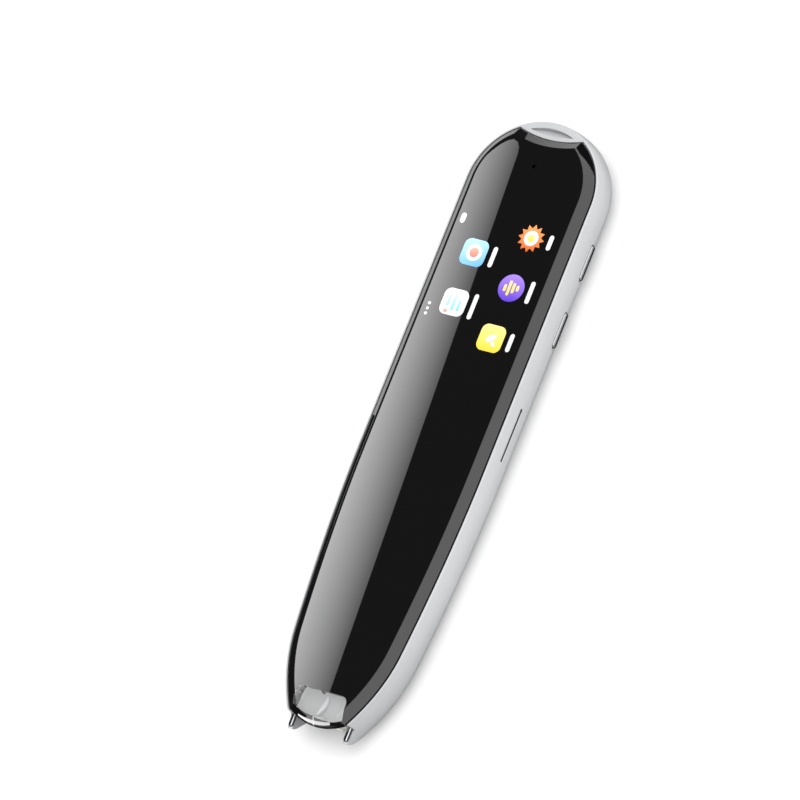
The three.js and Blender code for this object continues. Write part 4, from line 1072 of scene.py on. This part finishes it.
def lamp(name, strength, towards):
    """A soft lamp far away, which mirrors don't see."""
    data = bpy.data.lights.new(name, "SUN")
    data.energy = strength
    data.angle = lamp_spread
    piece = new_object(name, data)
    piece.rotation_mode = "QUATERNION"
    piece.rotation_quaternion = Vector(towards).to_track_quat("Z", "Y")
    piece.visible_glossy = False


lamp("key_lamp", 1.25, (0.13, 0.06, 0.98))
lamp("fill_lamp", 0.35, (0.77, 0.0, 0.64))


def staged(name, corners, faces, material):
    """A piece of the stage, in metres."""
    mesh = bpy.data.meshes.new(name)
    mesh.from_pydata(corners, [], faces)
    mesh.materials.append(material)
    piece = new_object(name, mesh)
    return piece


floor_corners = [(x * floor_half, y * floor_half, floor_z)
                 for x, y in ((-1, -1), (1, -1), (1, 1), (-1, 1))]
staged("floor", floor_corners, [(0, 1, 2, 3)], floor_paint)
print("floor, sky and lamps ready")

# %% Dark tent


def glow(name, strength):
    """A material that only shines."""
    return new_material(name, "Emission", Color=white_light, Strength=strength)


def for_gloss_alone(piece):
    """Hides a piece from all but glossy rays."""
    for rays in ("camera", "diffuse", "transmission", "volume_scatter", "shadow"):
        setattr(piece, "visible_" + rays, False)
    return piece


tent_radius = 4.5
tent_dark = 0.07
tent_bright = 0.35
tent_form = bmesh.new()
bmesh.ops.create_uvsphere(tent_form, u_segments=48, v_segments=24, radius=tent_radius)
tent_mesh = bpy.data.meshes.new("dark_tent")
tent_form.to_mesh(tent_mesh)
tent_form.free()
tent_cloth, tent_tree, tent_shine = glow("dark_tent_cloth", tent_dark)
tent_place = add(tent_tree, "TexCoord").outputs["Object"]
across_tent = add(tent_tree, "SeparateXYZ", {"Vector": tent_place}).outputs["X"]
tent_side = add(tent_tree, "MapRange",
                {"Value": across_tent, "From Min": 0.3 * tent_radius,
                 "From Max": 0.8 * tent_radius, "To Min": tent_dark, "To Max": tent_bright})
tent_tree.links.new(tent_side.outputs[0], tent_shine.inputs["Strength"])
tent_mesh.materials.append(tent_cloth)
tent = for_gloss_alone(new_object("dark_tent", tent_mesh))
print("tent ready")

# %% [markdown]
# The cards are laid out backwards: a sight line goes from the camera to a point of the glass,
# bounces there, and ends where the card must be. So a band along a bevel becomes a band in the
# air, and the reflection has the shape it is given here. Two black flags stand beside the pen, and
# the bevels turn dark where they mirror them. A third lies round the pen's foot, for the low edges
# and the buttons.

# %% Sight lines to the bevels


def bounce(x, y, z, normal, reach):
    """Where the sight line to a point ends, at a reach in mm after its bounce."""
    spot = place(x, y, z)
    sight = (spot - camera.location).normalized()
    return spot + sight.reflect(Vector(normal).normalized()) * reach * MM


def section_normal(turn, plan_x, plan_y):
    """A normal that leans by a turn in degrees towards a direction in the plan."""
    lean = math.radians(turn)
    return (plan_x * math.sin(lean), plan_y * math.sin(lean), math.cos(lean))


def nose_spot(x, share, reach):
    """From a point of the ground nose, at a share of the way from its top to its foot."""
    turn = grind_last - 2 * nose_turn * (1 - share)
    radius = nose_radius - edge_gap - grind_radius * (math.sin(grind_last) - math.sin(turn))
    z = bevel_foot + grind_radius * (math.cos(turn) - math.cos(grind_last))
    plan = (x / radius, -math.sqrt(1 - (x / radius) ** 2))
    normal = section_normal(math.degrees(turn), *plan)
    return bounce(x, nose_radius + radius * plan[1], z, normal, reach)


def side_spot(index, share, turn, reach):
    """From a point of the right bevel, at a share of the way from its foot to its top."""
    width = edge_gap + share * bevel_width
    x, y = outline[index] - outward[index] * width
    z = bevel_foot + share * glass_drop
    return bounce(x, y, z, section_normal(turn, *outward[index]), reach)


def bite_spot(x, share, turn, reach):
    """From a point of the tail bevel, at a share of the way from its foot to its top."""
    radius = bite_radius + edge_gap + bite_bevel * share
    plan = (-x / radius, math.sqrt(1 - (x / radius) ** 2))
    y, z = bite_centre - radius * plan[1], bite_foot + share * bite_drop
    return bounce(x, y, z, section_normal(turn, *plan), reach)


print("sight line functions ready")

# %% Cards that light the bevels


def band(name, low, high, strength):
    """A card between two chains of points."""
    count = len(low)
    faces = [(i, i + 1, count + i + 1, count + i) for i in range(count - 1)]
    return for_gloss_alone(staged(name, low + high, faces, glow(name, strength)[0]))


side_slope = math.degrees(math.atan2(glass_drop, bevel_width))
bite_slope = math.degrees(math.atan2(bite_drop, bite_bevel))
plan_turn = np.degrees(np.arctan2(outward[:, 1], outward[:, 0]))
lit_turn = 54
lit_side = [i for i in range(first_side, len(outline)) if plan_turn[i] < lit_turn]
right_reach, nose_reach, fill_reach, tail_reach = 2600, 30, 200, 80
band("right_card", [side_spot(i, 0.5, side_slope + 10, right_reach) for i in lit_side],
     [side_spot(i, 0.5, 18, right_reach) for i in lit_side], 2.6)
crescent_middle = 0.62
crescent = [(x, 0.2 * math.sin(math.pi * (0.06 + 0.74 * k / 24)) ** 0.6)
            for k, x in enumerate(np.linspace(-4.6, 4.3, 25))]
band("nose_card", [nose_spot(x, crescent_middle + half, nose_reach) for x, half in crescent],
     [nose_spot(x, crescent_middle - half, nose_reach) for x, half in crescent], 15.0)
band("nose_fill", *([nose_spot(x, share, fill_reach) for x in (-4.7, -3, -1, 1, 3)]
                    for share in (0.5, 0.0)), 3.6)
tail_chains = ((-6.2, -0.5, bite_slope), (-1.6, 1.2, bite_slope - 2))
band("tail_card", *([bite_spot(x, share, turn, tail_reach) for x in np.linspace(start, 9.5, 14)]
                    for start, share, turn in tail_chains), 1.7)
print("cards ready")

# %% Black flags
flag_black = 0.02
flag_start, flag_end = 26, 60
flag_low = 0.3
edge_reach = 70
edge_foot = 0.009
dark_side = [i for i in range(first_side, len(outline)) if flag_start <= plan_turn[i] <= flag_end]
shares = [min(plan_turn[i] / flag_start - 1, 1.3) for i in dark_side]
edge_line = [side_spot(i, share, side_slope, edge_reach) for i, share in zip(dark_side, shares)]
band("tail_flag", [Vector((p.x, p.y, edge_foot)) for p in edge_line], edge_line, flag_black)
left_flag = [(-30.0, -30, 24.0), (-30.0, 40, 12.0), (-30.0, 52, 8.2), (-30.0, 78, 6.2)]
band("left_flag", [place(x, y, flag_low) for x, y, _ in left_flag],
     [place(*spot) for spot in left_flag], flag_black)
flag_reach = 7.0
flag_front = -12.0
flag_plan = both_sides(outline + outward * flag_reach)
flag_plan = [(flag_plan[0][0], flag_front), *flag_plan, (flag_plan[-1][0], flag_front)]
flag_spots = [place(x, y, flag_low) for x, y in flag_plan]
for_gloss_alone(staged("floor_flag", flag_spots, [tuple(range(len(flag_plan)))],
                       glow("floor_flag", flag_black)[0]))
print("flags ready")

# %% [markdown]
# The large soft reflection on the glass comes from one level card. A level card shows in level
# glass as its own plan, scaled from the camera's mirror image, so it is drawn in millimetres on
# the glass, and its object's place and scale carry it up to its height. Its light grows from the
# right edge to the left.

# %% Long card over the glass
card_height = 1.4
card_edge = 2.18
card_lean = 0.053
card_dim = 2.2
card_growth = 0.63
mirror_eye = Vector((camera.location.x, camera.location.y, 2 * glass_top * MM - camera.location.z))
card_scale = 1 + card_height / (camera.location.z - glass_top * MM)
card_plan = [(1.73, 8.3), (-5.4, 143.7), (-5.75, 145.3), (-6.6, 146.5), (-7.9, 146.95),
             (-9.3, 146.3), (-10.75, 145.0), (-12.3, 143.0), (-13.55, 141.0), (-14.4, 139.0),
             (-15.0, 136.0), (-15.25, 133.0), (-15.3, -5.0), (-5.9, -5.0), (-5.6, 8.3)]
card_glow, card_tree, card_shine = glow("long_card", 1.0)
on_glass = add(card_tree, "TexCoord").outputs["Object"]
apart = add(card_tree, "VectorMath", {0: on_glass, 1: (-1.0, -card_lean, 0.0)},
            operation="DOT_PRODUCT").outputs["Value"]
card_start = card_dim + card_edge * card_growth
growth = add(card_tree, "Math", {0: apart, 1: card_growth, 2: card_start},
             operation="MULTIPLY_ADD")
card_tree.links.new(growth.outputs[0], card_shine.inputs["Strength"])
long_card = for_gloss_alone(staged("long_card", [(x, y, 0.0) for x, y in card_plan],
                                   [tuple(range(len(card_plan)))], card_glow))
long_card.scale = (card_scale * MM,) * 3
long_card.location = mirror_eye + (place(0, 0, glass_top) - mirror_eye) * card_scale
print("long card at", [round(v, 2) for v in long_card.location])
